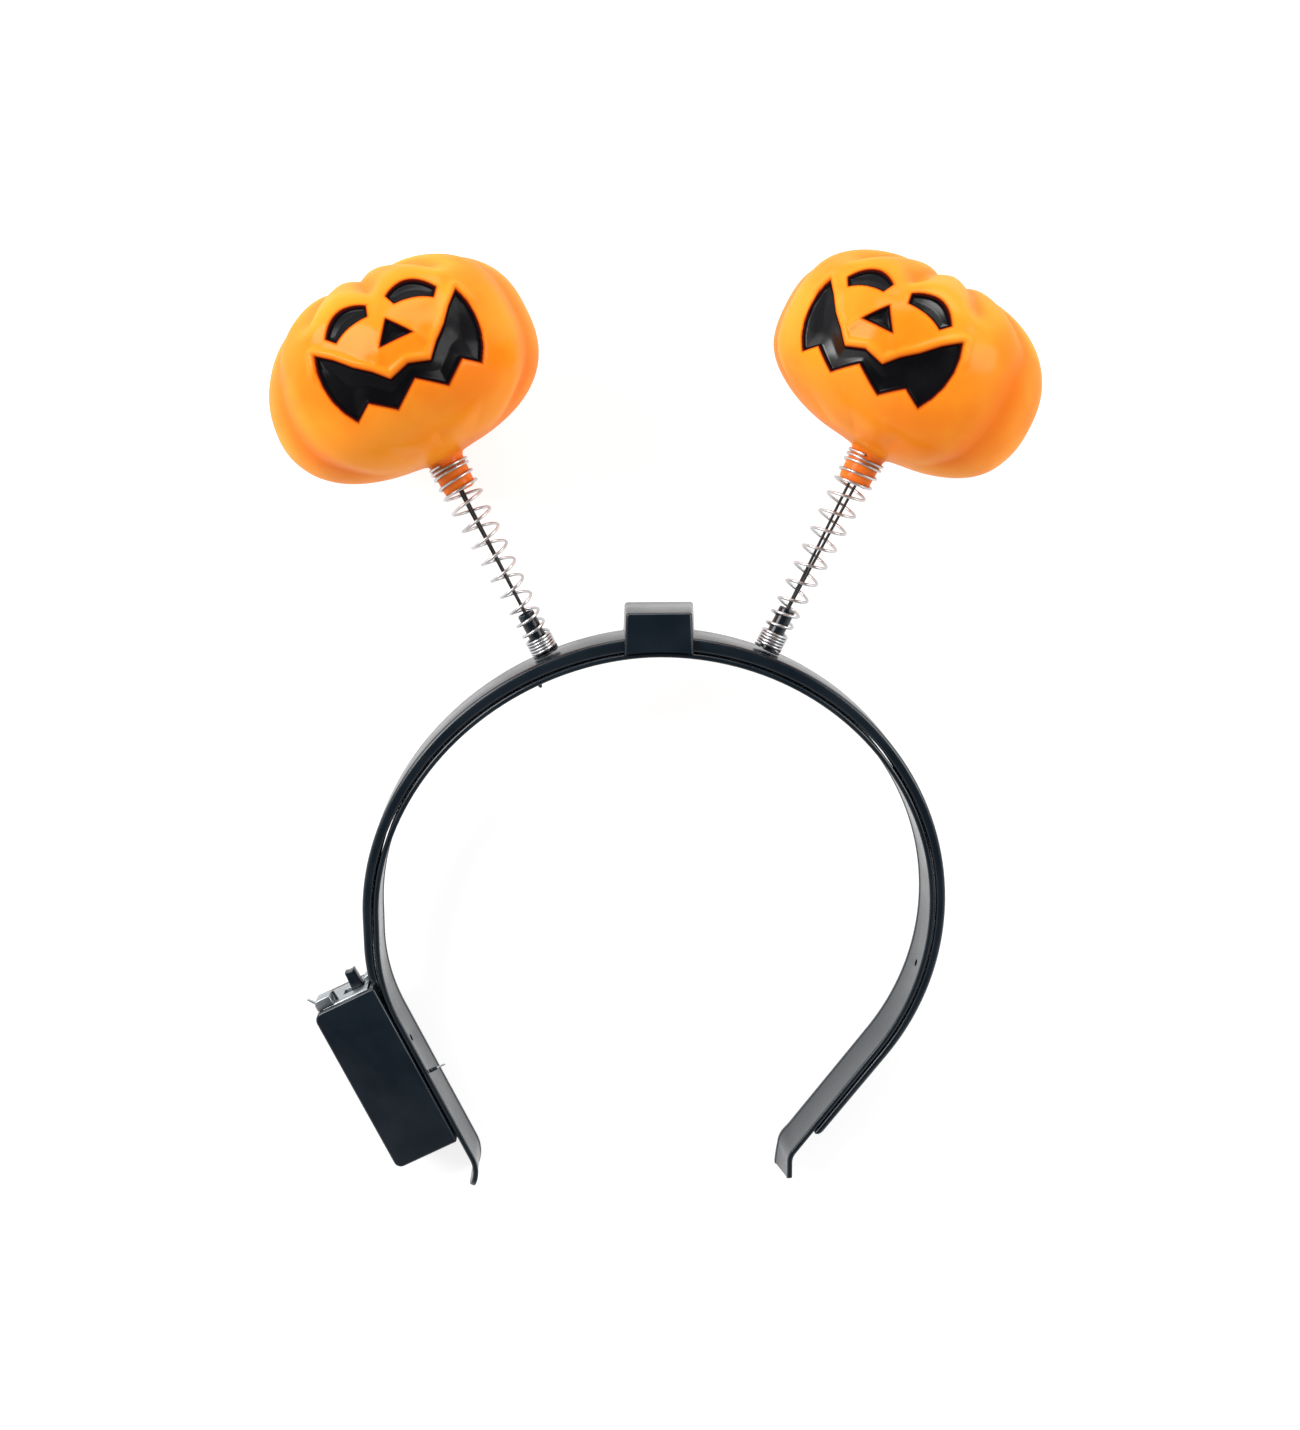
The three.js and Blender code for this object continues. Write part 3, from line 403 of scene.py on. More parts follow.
def settle(piece, place, smooth_angle=None):
    """Moves a piece modelled in millimetres to its spot, and leaves its object at the origin."""
    take_up(piece)
    piece.matrix_world = place
    bpy.ops.object.transform_apply(location=True, rotation=True, scale=True)
    if smooth_angle is None:
        bpy.ops.object.shade_smooth()
    else:
        bpy.ops.object.shade_smooth_by_angle(angle=math.radians(smooth_angle))
    return piece


def set_on(piece, node, body):
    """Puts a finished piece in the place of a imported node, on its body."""
    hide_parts(node)
    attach(piece, body)
    print(piece.name, len(piece.data.polygons), "faces")


def carved_pumpkin(name, row):
    begin()
    bpy.ops.mesh.primitive_uv_sphere_add(segments=PUMPKIN_SEGMENTS, ring_count=PUMPKIN_RINGS, radius=1.0)
    ball = bpy.context.object
    ball.name = ball.data.name = name
    at = np.empty(len(ball.data.vertices) * 3)
    ball.data.vertices.foreach_get("co", at)
    at = at.reshape(-1, 3)
    ring = np.rint((np.arcsin(np.clip(at[:, 2], -1, 1)) / np.pi + 0.5) * PUMPKIN_RINGS).astype(int)
    around = np.arctan2(at[:, 0], -at[:, 1])
    around = np.degrees(around - FACE_CROWDING * np.sin(around))
    tangent = np.gradient(rings, axis=0)
    tangent /= np.hypot(*tangent.T)[:, None]
    reach, height = rings[ring].T
    place, marks = carve(row, around, reach, height, tangent[ring, 1], -tangent[ring, 0])
    ball.data.vertices.foreach_set("co", place.ravel())
    for mark, values in marks.items():
        layer = ball.data.attributes.new(mark, "FLOAT", "POINT")
        layer.data.foreach_set("value", values.astype(np.float32))
    take_up(ball)
    bpy.ops.object.mode_set(mode="EDIT")
    bpy.ops.mesh.select_all(action="SELECT")
    bpy.ops.mesh.normals_make_consistent(inside=False)
    bpy.ops.object.mode_set(mode="OBJECT")
    return ball


pumpkins = []
for side, row in BOPPERS.items():
    pumpkin = settle(carved_pumpkin(f"pumpkin_shell_{side}", row), row["pumpkin_frame"])
    set_on(pumpkin, f"pumpkin_{side}", f"head_{side}")
    pumpkins.append(pumpkin)

# %% [markdown]
# Moulded plastic is never one flat colour. Cooling leaves broad, faint clouds in it, and the mould
# leaves a very fine grain that softens the highlights. Both come from one small node group that every
# plastic here uses, with its own strengths.

# %% The grain that all moulded plastic shares
def new_finish(name):
    finish = bpy.data.materials.new(name)
    finish.use_nodes = True
    return finish, finish.node_tree, finish.node_tree.nodes["Principled BSDF"]


def add(tree, kind, **values):
    node = tree.nodes.new(kind)
    for key, value in values.items():
        setattr(node, key, value)
    return node


def moulded_grain_group():
    group = bpy.data.node_groups.new("moulded_grain", "ShaderNodeTree")
    for name, value in [("Cloud Scale", 60.0), ("Grain Scale", 1400.0)]:
        socket = group.interface.new_socket(name, in_out="INPUT", socket_type="NodeSocketFloat")
        socket.default_value = value
    for name in ["Clouds", "Grain"]:
        group.interface.new_socket(name, in_out="OUTPUT", socket_type="NodeSocketFloat")
    take, give = add(group, "NodeGroupInput"), add(group, "NodeGroupOutput")
    where = add(group, "ShaderNodeTexCoord")
    for scale, output, detail in [("Cloud Scale", "Clouds", 3.0), ("Grain Scale", "Grain", 2.0)]:
        noise = add(group, "ShaderNodeTexNoise")
        noise.inputs["Detail"].default_value = detail
        group.links.new(where.outputs["Object"], noise.inputs["Vector"])
        group.links.new(take.outputs[scale], noise.inputs["Scale"])
        group.links.new(noise.outputs["Fac"], give.inputs[output])
    return group


moulded_grain = moulded_grain_group()


def place_grain(tree, cloud_scale, grain_scale):
    node = add(tree, "ShaderNodeGroup", node_tree=moulded_grain)
    node.inputs["Cloud Scale"].default_value = cloud_scale
    node.inputs["Grain Scale"].default_value = grain_scale
    return node


def mixed(tree, factor, first, second):
    """A colour mix; factor, first and second are sockets or plain values."""
    node = add(tree, "ShaderNodeMix", data_type="RGBA")
    for socket, value in [(node.inputs[0], factor), (node.inputs[6], first), (node.inputs[7], second)]:
        if isinstance(value, bpy.types.NodeSocket):
            tree.links.new(value, socket)
        else:
            socket.default_value = value if isinstance(value, float) else (*value, 1.0)
    return node.outputs[2]


def ranged(tree, value, low, high, to_low=0.0, to_high=1.0, kind="SMOOTHSTEP"):
    """Maps a value from one range to another; smoothstep makes a soft mask."""
    node = add(tree, "ShaderNodeMapRange", interpolation_type=kind)
    tree.links.new(value, node.inputs["Value"])
    for name, number in [("From Min", low), ("From Max", high), ("To Min", to_low), ("To Max", to_high)]:
        node.inputs[name].default_value = number
    return node.outputs["Result"]


def bumped(tree, shader, height, strength, distance):
    node = add(tree, "ShaderNodeBump")
    node.inputs["Strength"].default_value = strength
    node.inputs["Distance"].default_value = distance
    tree.links.new(height, node.inputs["Height"])
    tree.links.new(node.outputs["Normal"], shader.inputs["Normal"])


print("grain group sockets:", [item.name for item in moulded_grain.interface.items_tree])

# %% [markdown]
# The pumpkins are bright orange plastic, with painted shade deepening the creases and a painted
# highlight paling the raised rims. The features are brushed with gloss black, and along its edge the
# paint runs thin, so a reddish line shows between black and orange. The neck is a stronger red-orange.
# The marks made while carving say where all this goes. All the shine is in the coat: faint on the
# skin, patchy on the paint, and none on the walls between them.

# %% Pumpkin finish
SKIN_DARK, SKIN_LIGHT = (0.93, 0.228, 0.009), (0.965, 0.300, 0.018)
PAINTED_CREASE_SHADE, PAINTED_RIM_HIGHLIGHT, NECK_ORANGE = (0.90, 0.190, 0.006), (0.98, 0.33, 0.030), (0.92, 0.190, 0.030)
PAINT_HALO, PAINT_EDGE, PAINT_BLACK = (0.50, 0.045, 0.005), (0.070, 0.006, 0.003), (0.003, 0.003, 0.004)
SKIN_CLOUDS, SKIN_GRAIN = 55.0, 900.0


def marked(tree, name):
    return add(tree, "ShaderNodeAttribute", attribute_name=name).outputs["Fac"]


def pumpkin_colour(tree, clouds, paint):
    skin = mixed(tree, ranged(tree, clouds, 0.35, 0.65), SKIN_DARK, SKIN_LIGHT)
    # painted shade: the skin is darkened along the lobes' creases
    skin = mixed(tree, ranged(tree, marked(tree, "crease"), 0.1, 0.9), skin, PAINTED_CREASE_SHADE)
    # painted highlight: the skin is paled on the raised brows, lip and cheek folds
    skin = mixed(tree, ranged(tree, marked(tree, "rim"), 0.2, 0.8, 0.0, 0.3), skin, PAINTED_RIM_HIGHLIGHT)
    skin = mixed(tree, ranged(tree, marked(tree, "neck"), 0.0, 1.0, 0.0, 0.8), skin, NECK_ORANGE)
    skin = mixed(tree, ranged(tree, paint, 0.55, 0.05, 0.0, 0.8), skin, PAINT_HALO)
    skin = mixed(tree, ranged(tree, paint, 0.09, -0.07), skin, PAINT_EDGE)
    return mixed(tree, ranged(tree, paint, -0.08, -0.34), skin, PAINT_BLACK)


def pumpkin_gloss(tree, clouds, paint):
    gloss = add(tree, "ShaderNodeMath", operation="MULTIPLY_ADD")
    tree.links.new(ranged(tree, paint, -0.35, -0.8), gloss.inputs[0])
    tree.links.new(ranged(tree, clouds, 0.46, 0.60, 0.25, 0.9), gloss.inputs[1])
    tree.links.new(ranged(tree, paint, 0.2, 0.7, 0.0, 0.25), gloss.inputs[2])
    return gloss.outputs[0]


def pumpkin_finish():
    finish, tree, shader = new_finish("orange_plastic")
    grain = place_grain(tree, SKIN_CLOUDS, SKIN_GRAIN)
    clouds, paint = grain.outputs["Clouds"], marked(tree, "paint")
    tree.links.new(pumpkin_colour(tree, clouds, paint), shader.inputs["Base Color"])
    tree.links.new(ranged(tree, clouds, 0.3, 0.7, 0.38, 0.48), shader.inputs["Roughness"])
    tree.links.new(pumpkin_gloss(tree, clouds, paint), shader.inputs["Coat Weight"])
    shader.inputs["Coat Roughness"].default_value = 0.2
    shader.inputs["Specular IOR Level"].default_value = 0.0
    shader.inputs["Subsurface Weight"].default_value = 0.10
    shader.inputs["Subsurface Radius"].default_value = (1.0, 0.35, 0.08)
    shader.inputs["Subsurface Scale"].default_value = 0.003
    bumped(tree, shader, grain.outputs["Grain"], 0.12, 0.0002)
    return finish


def dress(finish, *pieces):
    for piece in pieces:
        piece.data.materials.clear()
        piece.data.materials.append(finish)


orange_plastic = pumpkin_finish()
dress(orange_plastic, *pumpkins)
print("pumpkin finish:", len(orange_plastic.node_tree.nodes), "nodes")

# %% [markdown]
# The headband is two thin black mouldings on one path: an inner strip that lies on the head, and an
# outer channel that hides the leads. The path runs up the left arm, over the crown and down the
# right arm. Each arm drops, bends in, runs straight and, past the end of the channel, curls out at
# its tip.

# %% The band's path
ARMS = {
    LEFT: {"drop": 7.0, "radius": 44.7, "lean": 25.4, "straight": 38.9, "beyond": 0.0},
    RIGHT: {"drop": 0.0, "radius": 58.0, "lean": 37.3, "straight": 26.0, "beyond": 7.0},
}
TIPS = {
    LEFT: {"radius": 9.0, "turn": 50.0, "end": 0.8, "corner": 2.7, "twist": 0.3},
    RIGHT: {"radius": 5.0, "turn": 38.0, "end": 4.2, "corner": 0.4, "twist": 1.8},
}
CHANNEL_LEFT_LEAN, CLOSE_STATIONS = 11.3, 2.0


def bend_rows(side, lean_deg):
    """Stretches of an arm, each as length, turn and number of stations."""
    lean = math.radians(lean_deg)
    return [(ARMS[side]["drop"], 0.0, 6), (ARMS[side]["radius"] * lean, lean, 26)]


def straight_rows(side):
    return [(ARMS[side]["straight"] - CLOSE_STATIONS, 0.0, 12), (CLOSE_STATIONS, 0.0, 6)]


def tip_rows(side):
    radius, turn, end = TIPS[side]["radius"], math.radians(TIPS[side]["turn"]), TIPS[side]["end"]
    return [(ARMS[side]["beyond"], 0.0, 6), (radius * turn, -turn, 28), (end, 0.0, 14)]


def arm_station(side, run):
    """A point of an arm's inner face and its normal, by the length down the arm."""
    arm = ARMS[side]
    bend_run = max(0.0, run - arm["drop"])
    bend = min(bend_run / arm["radius"], math.radians(arm["lean"]))
    straight = bend_run - bend * arm["radius"]
    x = CROWN_SIDES[side]["half_width"] - arm["radius"] * (1 - math.cos(bend)) - straight * math.sin(bend)
    y = -min(run, arm["drop"]) - arm["radius"] * math.sin(bend) - straight * math.cos(bend)
    return side * x, y, side * math.cos(bend), -math.sin(bend)


def arm_stations(side, rows):
    x, y, lean = CROWN_SIDES[side]["half_width"], 0.0, 0.0
    stations = []
    for length, turn, steps in rows:
        for _ in range(steps if length else 0):
            middle = lean + turn / steps / 2
            x -= length / steps * math.sin(middle)
            y -= length / steps * math.cos(middle)
            lean += turn / steps
            stations.append((side * x, y, side * math.cos(lean), -math.sin(lean)))
    return stations


def band_path(left_rows, right_rows, crown_steps=90):
    """Stations from the left end to the right end: x, y, nx, ny and the length run so far."""
    crown = [crown_station(180 - 180 * step / crown_steps) for step in range(crown_steps + 1)]
    path = np.array(arm_stations(LEFT, left_rows)[::-1] + crown + arm_stations(RIGHT, right_rows))
    run = np.concatenate([[0], np.cumsum(np.hypot(*np.diff(path[:, :2], axis=0).T))])
    return np.column_stack([path, run])


channel_rows = {LEFT: bend_rows(LEFT, CHANNEL_LEFT_LEAN)}
channel_rows[RIGHT] = bend_rows(RIGHT, ARMS[RIGHT]["lean"]) + straight_rows(RIGHT)
strip_rows = {
    side: bend_rows(side, ARMS[side]["lean"]) + straight_rows(side) + tip_rows(side) for side in ARMS
}
channel_path = band_path(channel_rows[LEFT], channel_rows[RIGHT])
strip_path = band_path(strip_rows[LEFT], strip_rows[RIGHT])
print("strip", round(strip_path[-1, 4]), "mm long, channel", round(channel_path[-1, 4]), "mm long")

# %% [markdown]
# A section pulled along a path is the natural way to make a band: one flat face is extruded from
# station to station. A number kept on each corner of the face travels with every extrude, so the new
# corners know which point of the section they are, and can be set down exactly. That also lets the
# section change on the way, as the channel gets lower and the tips get narrower. Moulded edges are
# never sharp, so each corner of a section is swapped for a small arc first.

# %% Pull a section along the path
def rounded(corners, radii, steps=4):
    """An outline with each corner swapped for an arc that starts its radius away from it."""
    outline = []
    for number, (corner, radius) in enumerate(zip(corners, radii)):
        before, after = corners[number - 1], corners[(number + 1) % len(corners)]
        start = corner + (before - corner) / np.hypot(*(before - corner)) * radius
        end = corner + (after - corner) / np.hypot(*(after - corner)) * radius
        outline.extend(arch(start, corner, end, steps))
    return np.array(outline)


def place_ring(piece, station, outline):
    """Sets the selected corners down on a section's points; a third column pulls along the path."""
    shape = bmesh.from_edit_mesh(piece.data)
    corner = shape.verts.layers.int["corner"]
    x, y, nx, ny = station[:4]
    for vertex in shape.verts:
        if vertex.select:
            out, z, *skew = outline[vertex[corner]]
            along = sum(skew)
            vertex.co = (x + nx * out + ny * along, y + ny * out - nx * along, z)
    bmesh.update_edit_mesh(piece.data)


def pulled(name, path, section):
    begin()
    outline = section(path[0])
    bpy.ops.mesh.primitive_circle_add(vertices=len(outline), radius=1.0, fill_type="NGON")
    piece = bpy.context.object
    piece.name = piece.data.name = name
    corner = piece.data.attributes.new("corner", "INT", "POINT")
    corner.data.foreach_set("value", np.arange(len(outline), dtype=np.int32))
    bpy.ops.object.mode_set(mode="EDIT")
    bpy.ops.mesh.select_all(action="SELECT")
    for number, station in enumerate(path):
        if number:
            bpy.ops.mesh.extrude_region_move()
        place_ring(piece, station, section(station))
    bpy.ops.mesh.select_all(action="SELECT")
    bpy.ops.mesh.normals_make_consistent(inside=False)
    bpy.ops.object.mode_set(mode="OBJECT")
    piece.data.attributes.remove(piece.data.attributes["corner"])
    return piece


print("rounded square:", len(rounded(np.array([(0, 0), (2, 0), (2, 2), (0, 2)], float), [0.5] * 4)), "points")

# %% [markdown]
# The strip is 14 mm wide and 1.3 mm thick. Its inner face is sunk between two low rims, and its front
# and back edges are nearly half round. At both ends the corners are rounded off, and the right end
# is twisted a little, so that its back corner turns up and runs on further than the front one.

# %% Inner strip
HALF_WIDTH = 7.0
RIM_WIDTH, RIM_HEIGHT = 1.2, 0.18
STRIP_ROUNDS = [0.12, 0.12, 0.45, 0.6]
TWIST_RUN, SKEW_RUN, TWIST_LIFT = 9.0, 6.0, 0.55


def strip_section(station):
    side = LEFT if station[4] < strip_path[-1, 4] / 2 else RIGHT
    corner, twist = TIPS[side]["corner"], TIPS[side]["twist"]
    from_end = min(station[4], strip_path[-1, 4] - station[4])
    short = max(0.0, corner - from_end)
    half = HALF_WIDTH - corner + math.sqrt(corner**2 - short**2)
    rim = half - RIM_WIDTH
    web = rim - RIM_HEIGHT
    front = [(RIM_HEIGHT, web), (0, rim), (0, half), (STRIP_THICKNESS, half)]
    back = [(out, -z) for out, z in front[::-1]]
    outline = rounded(np.array(front + back), STRIP_ROUNDS + STRIP_ROUNDS[::-1])
    to_back = (HALF_WIDTH - outline[:, 1]) / (2 * HALF_WIDTH)
    turned_up = twist * ease(-from_end, -TWIST_RUN, 0.0) * to_back
    outline += np.column_stack([-turned_up, TWIST_LIFT * turned_up])
    return np.column_stack([outline, twist * ease(-from_end, -SKEW_RUN, 0.0) * to_back])


band_strip = pulled("headband_strip", strip_path, strip_section)
print(band_strip.name, len(band_strip.data.polygons), "faces")

# %% [markdown]
# Two small holes go through the strip, one on each arm, and two cut-off stakes stand on its inner
# face under the left post. Holes are drilled with cylinders and a Boolean modifier; the stakes are
# blunt cones with softened edges, as melted plastic is.

# %% Holes and stakes in the strip
ARM_HOLES = [{"side": LEFT, "run": 32.3, "z": 4.0}, {"side": RIGHT, "run": 15.4, "z": 2.0}]
HOLE_RADIUS, HOLE_DEPTH = 0.85, 6.0
STAKES = [{"crown_deg": 115.7, "z": 3.0}, {"crown_deg": 112.2, "z": -3.0}]
STAKE_FOOT, STAKE_TOP, STAKE_LENGTH, STAKE_OUT = 0.85, 0.3, 1.7, 0.45


def applied(piece, kind, **values):
    """Adds one modifier with its values and applies it at once."""
    take_up(piece)
    modifier = piece.modifiers.new(kind.lower(), kind)
    for key, value in values.items():
        setattr(modifier, key, value)
    bpy.ops.object.modifier_apply(modifier=modifier.name)


def cut(piece, tool):
    applied(piece, "BOOLEAN", operation="DIFFERENCE", solver="EXACT", object=tool)
    bpy.data.objects.remove(tool)


def joined(main, *others):
    begin()
    for piece in (main, *others):
        piece.select_set(True)
    bpy.context.view_layer.objects.active = main
    bpy.ops.object.join()
    return main


def arm_hole(side, run, z):
    x, y, nx, ny = arm_station(side, run)
    begin()
    bpy.ops.mesh.primitive_cylinder_add(
        vertices=24, radius=HOLE_RADIUS, depth=HOLE_DEPTH, location=(x, y, z),
        rotation=Vector((nx, ny, 0.0)).to_track_quat("Z", "Y").to_euler(),
    )
    return bpy.context.object


def stake(crown_deg, z):
    x, y, nx, ny = crown_station(crown_deg)
    inwards = Vector((-nx, -ny, 0.0))
    begin()
    bpy.ops.mesh.primitive_cone_add(
        vertices=20, radius1=STAKE_FOOT, radius2=STAKE_TOP, depth=STAKE_LENGTH,
        location=Vector((x, y, z)) + inwards * STAKE_OUT,
        rotation=inwards.to_track_quat("Z", "Y").to_euler(),
    )
    cone = bpy.context.object
    applied(cone, "BEVEL", width=0.15, segments=2)
    return cone


for row in ARM_HOLES:
    cut(band_strip, arm_hole(**row))
joined(band_strip, *[stake(**row) for row in STAKES])
settle(band_strip, band_frame, smooth_angle=40)
set_on(band_strip, "band_strip", "band")

# %% [markdown]
# The channel is a U that opens towards the strip. It is 3.3 mm high at the crown and half that at its
# ends, where it rounds down to the strip. Its rounded outer edges catch the long highlights, and where
# its foot and the strip's edge both round off, a dark groove runs all along the front of the band.

# %% Outer channel
CHANNEL_END_HEIGHT, CHANNEL_WALL, CHANNEL_END_ROUND = 1.5, 1.2, 1.8
CHANNEL_END_SHARE = 0.3
INSIDE_ROUND, FOOT_ROUND, ROOF_ROUND = 0.1, 0.7, 0.9
crown_run = channel_path[np.argmax(channel_path[:, 1]), 4]
longest_run = max(crown_run, channel_path[-1, 4] - crown_run)


def channel_section(station):
    share = abs(station[4] - crown_run) / longest_run
    height = CHANNEL_HEIGHT + (CHANNEL_END_HEIGHT - CHANNEL_HEIGHT) * share
    from_end = min(station[4], channel_path[-1, 4] - station[4], CHANNEL_END_ROUND)
    end_round = math.sqrt(1 - (1 - from_end / CHANNEL_END_ROUND) ** 2)
    height *= CHANNEL_END_SHARE + (1 - CHANNEL_END_SHARE) * end_round
    foot = STRIP_THICKNESS + SEAM
    roof, inner = foot + height, HALF_WIDTH - CHANNEL_WALL
    ceiling = roof - min(CHANNEL_WALL, 0.7 * height)
    front = [(ceiling, inner), (foot, inner), (foot, HALF_WIDTH), (roof, HALF_WIDTH)]
    back = [(out, -z) for out, z in front[::-1]]
    radii = [INSIDE_ROUND, INSIDE_ROUND, min(FOOT_ROUND, 0.4 * height), min(ROOF_ROUND, 0.5 * height)]
    return rounded(np.array(front + back), radii + radii[::-1])


band_channel = pulled("headband_channel", channel_path, channel_section)
settle(band_channel, band_frame, smooth_angle=40)
set_on(band_channel, "band_channel", "band")

# %% [markdown]
# A small housing sits over the channel at the crown. It is a box that narrows towards its top and its
# front, a little askew, with softened edges, cut out underneath to straddle the channel. The tools
# that cut it are made like the band: a section pulled along the crown, once as wide as the band and up
# to its outer face, and once wider but only up to the channel's foot.

# %% Crown housing
HOUSING_TOP, HOUSING_FOOT, HOUSING_DEPTH = 71.7, CROWN_RISE - 3, 18.0
HOUSING_BASE_WIDTH, HOUSING_TOP_WIDTH, HOUSING_TOP_DEPTH = 16.2, 15.0, 0.97
HOUSING_BACK_WIDER, HOUSING_BACK_ASKEW, HOUSING_EDGE = 1.08, 0.9, 0.7
CUTTER_DEGS, CUTTER_BELOW = range(60, 122, 2), -12.0


def select_faces(piece, wanted):
    """Selects the faces of the active mesh whose middle and normal pass a test."""
    bpy.ops.object.mode_set(mode="EDIT")
    bpy.ops.mesh.select_mode(type="FACE")
    bpy.ops.mesh.select_all(action="DESELECT")
    shape = bmesh.from_edit_mesh(piece.data)
    for face in shape.faces:
        face.select_set(wanted(face.calc_center_median(), face.normal))
    bmesh.update_edit_mesh(piece.data)


def block(name, low, high):
    """A cube set to the box between two corners."""
    begin()
    low, high = Vector(low), Vector(high)
    bpy.ops.mesh.primitive_cube_add(size=1.0, location=(low + high) / 2)
    piece = bpy.context.object
    piece.name = piece.data.name = name
    piece.scale = high - low
    bpy.ops.object.transform_apply(location=True, rotation=True, scale=True)
    return piece


def under_crown(grow, half_depth):
    path = np.array([(*crown_station(deg), 0.0) for deg in CUTTER_DEGS])
    below = [(CUTTER_BELOW, -half_depth), (CUTTER_BELOW, half_depth)]
    corners = np.array(below + [(grow, half_depth), (grow, -half_depth)])
    return pulled("crown_cutter", path, lambda station: corners)


half, deep = HOUSING_BASE_WIDTH / 2, HOUSING_DEPTH / 2
housing = block("crown_housing", (-half, HOUSING_FOOT, -deep), (half, HOUSING_TOP, deep))
select_faces(housing, lambda middle, normal: normal.y > 0.9)
bpy.ops.transform.resize(value=(HOUSING_TOP_WIDTH / HOUSING_BASE_WIDTH, 1.0, HOUSING_TOP_DEPTH))
bpy.ops.object.mode_set(mode="OBJECT")
select_faces(housing, lambda middle, normal: normal.z < -0.9)
bpy.ops.transform.resize(value=(HOUSING_BACK_WIDER, 1.0, 1.0))
bpy.ops.transform.translate(value=(HOUSING_BACK_ASKEW, 0.0, 0.0))
bpy.ops.object.mode_set(mode="OBJECT")
applied(housing, "BEVEL", width=HOUSING_EDGE, segments=4, limit_method="ANGLE")
cut(housing, under_crown(STRIP_THICKNESS + SEAM, HOUSING_DEPTH))
cut(housing, under_crown(BAND_HEIGHT + SEAM, HALF_WIDTH + SEAM))
settle(housing, band_frame, smooth_angle=35)
set_on(housing, "center_housing", "band")

# %% [markdown]
# The battery box is a long black box on the outer side of the left arm, with two rounded outer
# corners. Its upper end is open, and a grey switch plate sits in it. The box is a cube whose two
# outer corner edges are bevelled round, then every edge is softened, and the open end is made by an
# inset and an extrude inwards. All of it is modelled in the arm's own frame: X inwards, Y up the arm.

# %% Battery box
BOX_BELOW_BEND = 9.9
BOX_INNER, BOX_OUTER = -1.6, -17.7
BOX_BOTTOM, BOX_TOP, BOX_HALF_DEPTH = -23.2, 20.5, 7.5
BOX_TOP_ROUND, BOX_BOTTOM_ROUND, BOX_INNER_ROUND, BOX_EDGE = 2.2, 1.8, 0.6, 0.55
BOX_WALL, BOX_HOLLOW = 0.75, 30.0
NEAR = 0.01
arm_lean = math.radians(ARMS[LEFT]["lean"])
box_run = ARMS[LEFT]["drop"] + ARMS[LEFT]["radius"] * arm_lean + BOX_BELOW_BEND
box_middle = Vector((*arm_station(LEFT, box_run)[:2], 0.0))
battery_frame = band_frame @ Matrix.Translation(box_middle) @ Matrix.Rotation(arm_lean, 4, "Z")


def round_edges(piece, wanted, width, segments):
    """Bevels the edges of a mesh whose middle passes a test."""
    take_up(piece)
    bpy.ops.object.mode_set(mode="EDIT")
    bpy.ops.mesh.select_mode(type="EDGE")
    bpy.ops.mesh.select_all(action="DESELECT")
    shape = bmesh.from_edit_mesh(piece.data)
    for edge in shape.edges:
        edge.select_set(wanted((edge.verts[0].co + edge.verts[1].co) / 2))
    bmesh.update_edit_mesh(piece.data)
    bpy.ops.mesh.bevel(offset=width, offset_type="OFFSET", segments=segments, affect="EDGES")
    bpy.ops.object.mode_set(mode="OBJECT")


def soften(piece, width, segments, from_deg):
    """Bevels every edge that is sharper than an angle."""
    sharp = math.radians(from_deg)
    applied(piece, "BEVEL", width=width, segments=segments, limit_method="ANGLE", angle_limit=sharp)


def outer_edge_at(y):
    return lambda middle: abs(middle.x - BOX_OUTER) < NEAR and abs(middle.y - y) < NEAR


def inner_front_edge(middle):
    return abs(middle.x - BOX_INNER) < NEAR and abs(middle.z - BOX_HALF_DEPTH) < NEAR


low_corner, high_corner = (BOX_OUTER, BOX_BOTTOM, -BOX_HALF_DEPTH), (BOX_INNER, BOX_TOP, BOX_HALF_DEPTH)
battery_box = block("battery_case", low_corner, high_corner)
round_edges(battery_box, outer_edge_at(BOX_TOP), BOX_TOP_ROUND, 8)
round_edges(battery_box, outer_edge_at(BOX_BOTTOM), BOX_BOTTOM_ROUND, 8)
round_edges(battery_box, inner_front_edge, BOX_INNER_ROUND, 4)
soften(battery_box, BOX_EDGE, 4, 40)
select_faces(battery_box, lambda middle, normal: normal.y > 0.99 and middle.y > BOX_TOP - 0.1)
bpy.ops.mesh.inset(thickness=BOX_WALL)
bpy.ops.mesh.extrude_region_move(TRANSFORM_OT_translate={"value": (0.0, -BOX_HOLLOW, 0.0)})
bpy.ops.object.mode_set(mode="OBJECT")
settle(battery_box, battery_frame, smooth_angle=35)
set_on(battery_box, "battery_box", "band")

# %% [markdown]
# The switch is a grey plate that fills the box's open end, with a slot that the knob slides in, a
# block at its outer end and a slanted wedge next to the arm. The plate is a cube with the slot cut
# through it; the block and the wedge are cubes joined on, one with a rounded edge and one with its
# top turned.

# %% Switch plate
KNOB_MIDDLE, KNOB_TRAVEL, SLOT_HALF = BOX_OUTER + 11.2, 2.0, 1.8
PLATE_ENDS, PLATE_HALF_DEPTH, PLATE_BELOW, PLATE_ABOVE = (BOX_OUTER + 1.8, -3.4), 5.7, 6.0, 0.15
TALL_BLOCK = {"x": (-16.5, -12.2), "z": (1.5, 5.9), "rise": 2.6, "round": 1.2}
WEDGE = {"x": (-4.4, -2.0), "z": (-2.5, 1.5), "rise": 2.2, "slant": -15}
STANDS_ABOVE = BOX_TOP + 0.05


def standing_block(name, row):
    (x_low, x_high), (z_low, z_high) = row["x"], row["z"]
    return block(name, (x_low, STANDS_ABOVE, z_low), (x_high, BOX_TOP + row["rise"], z_high))


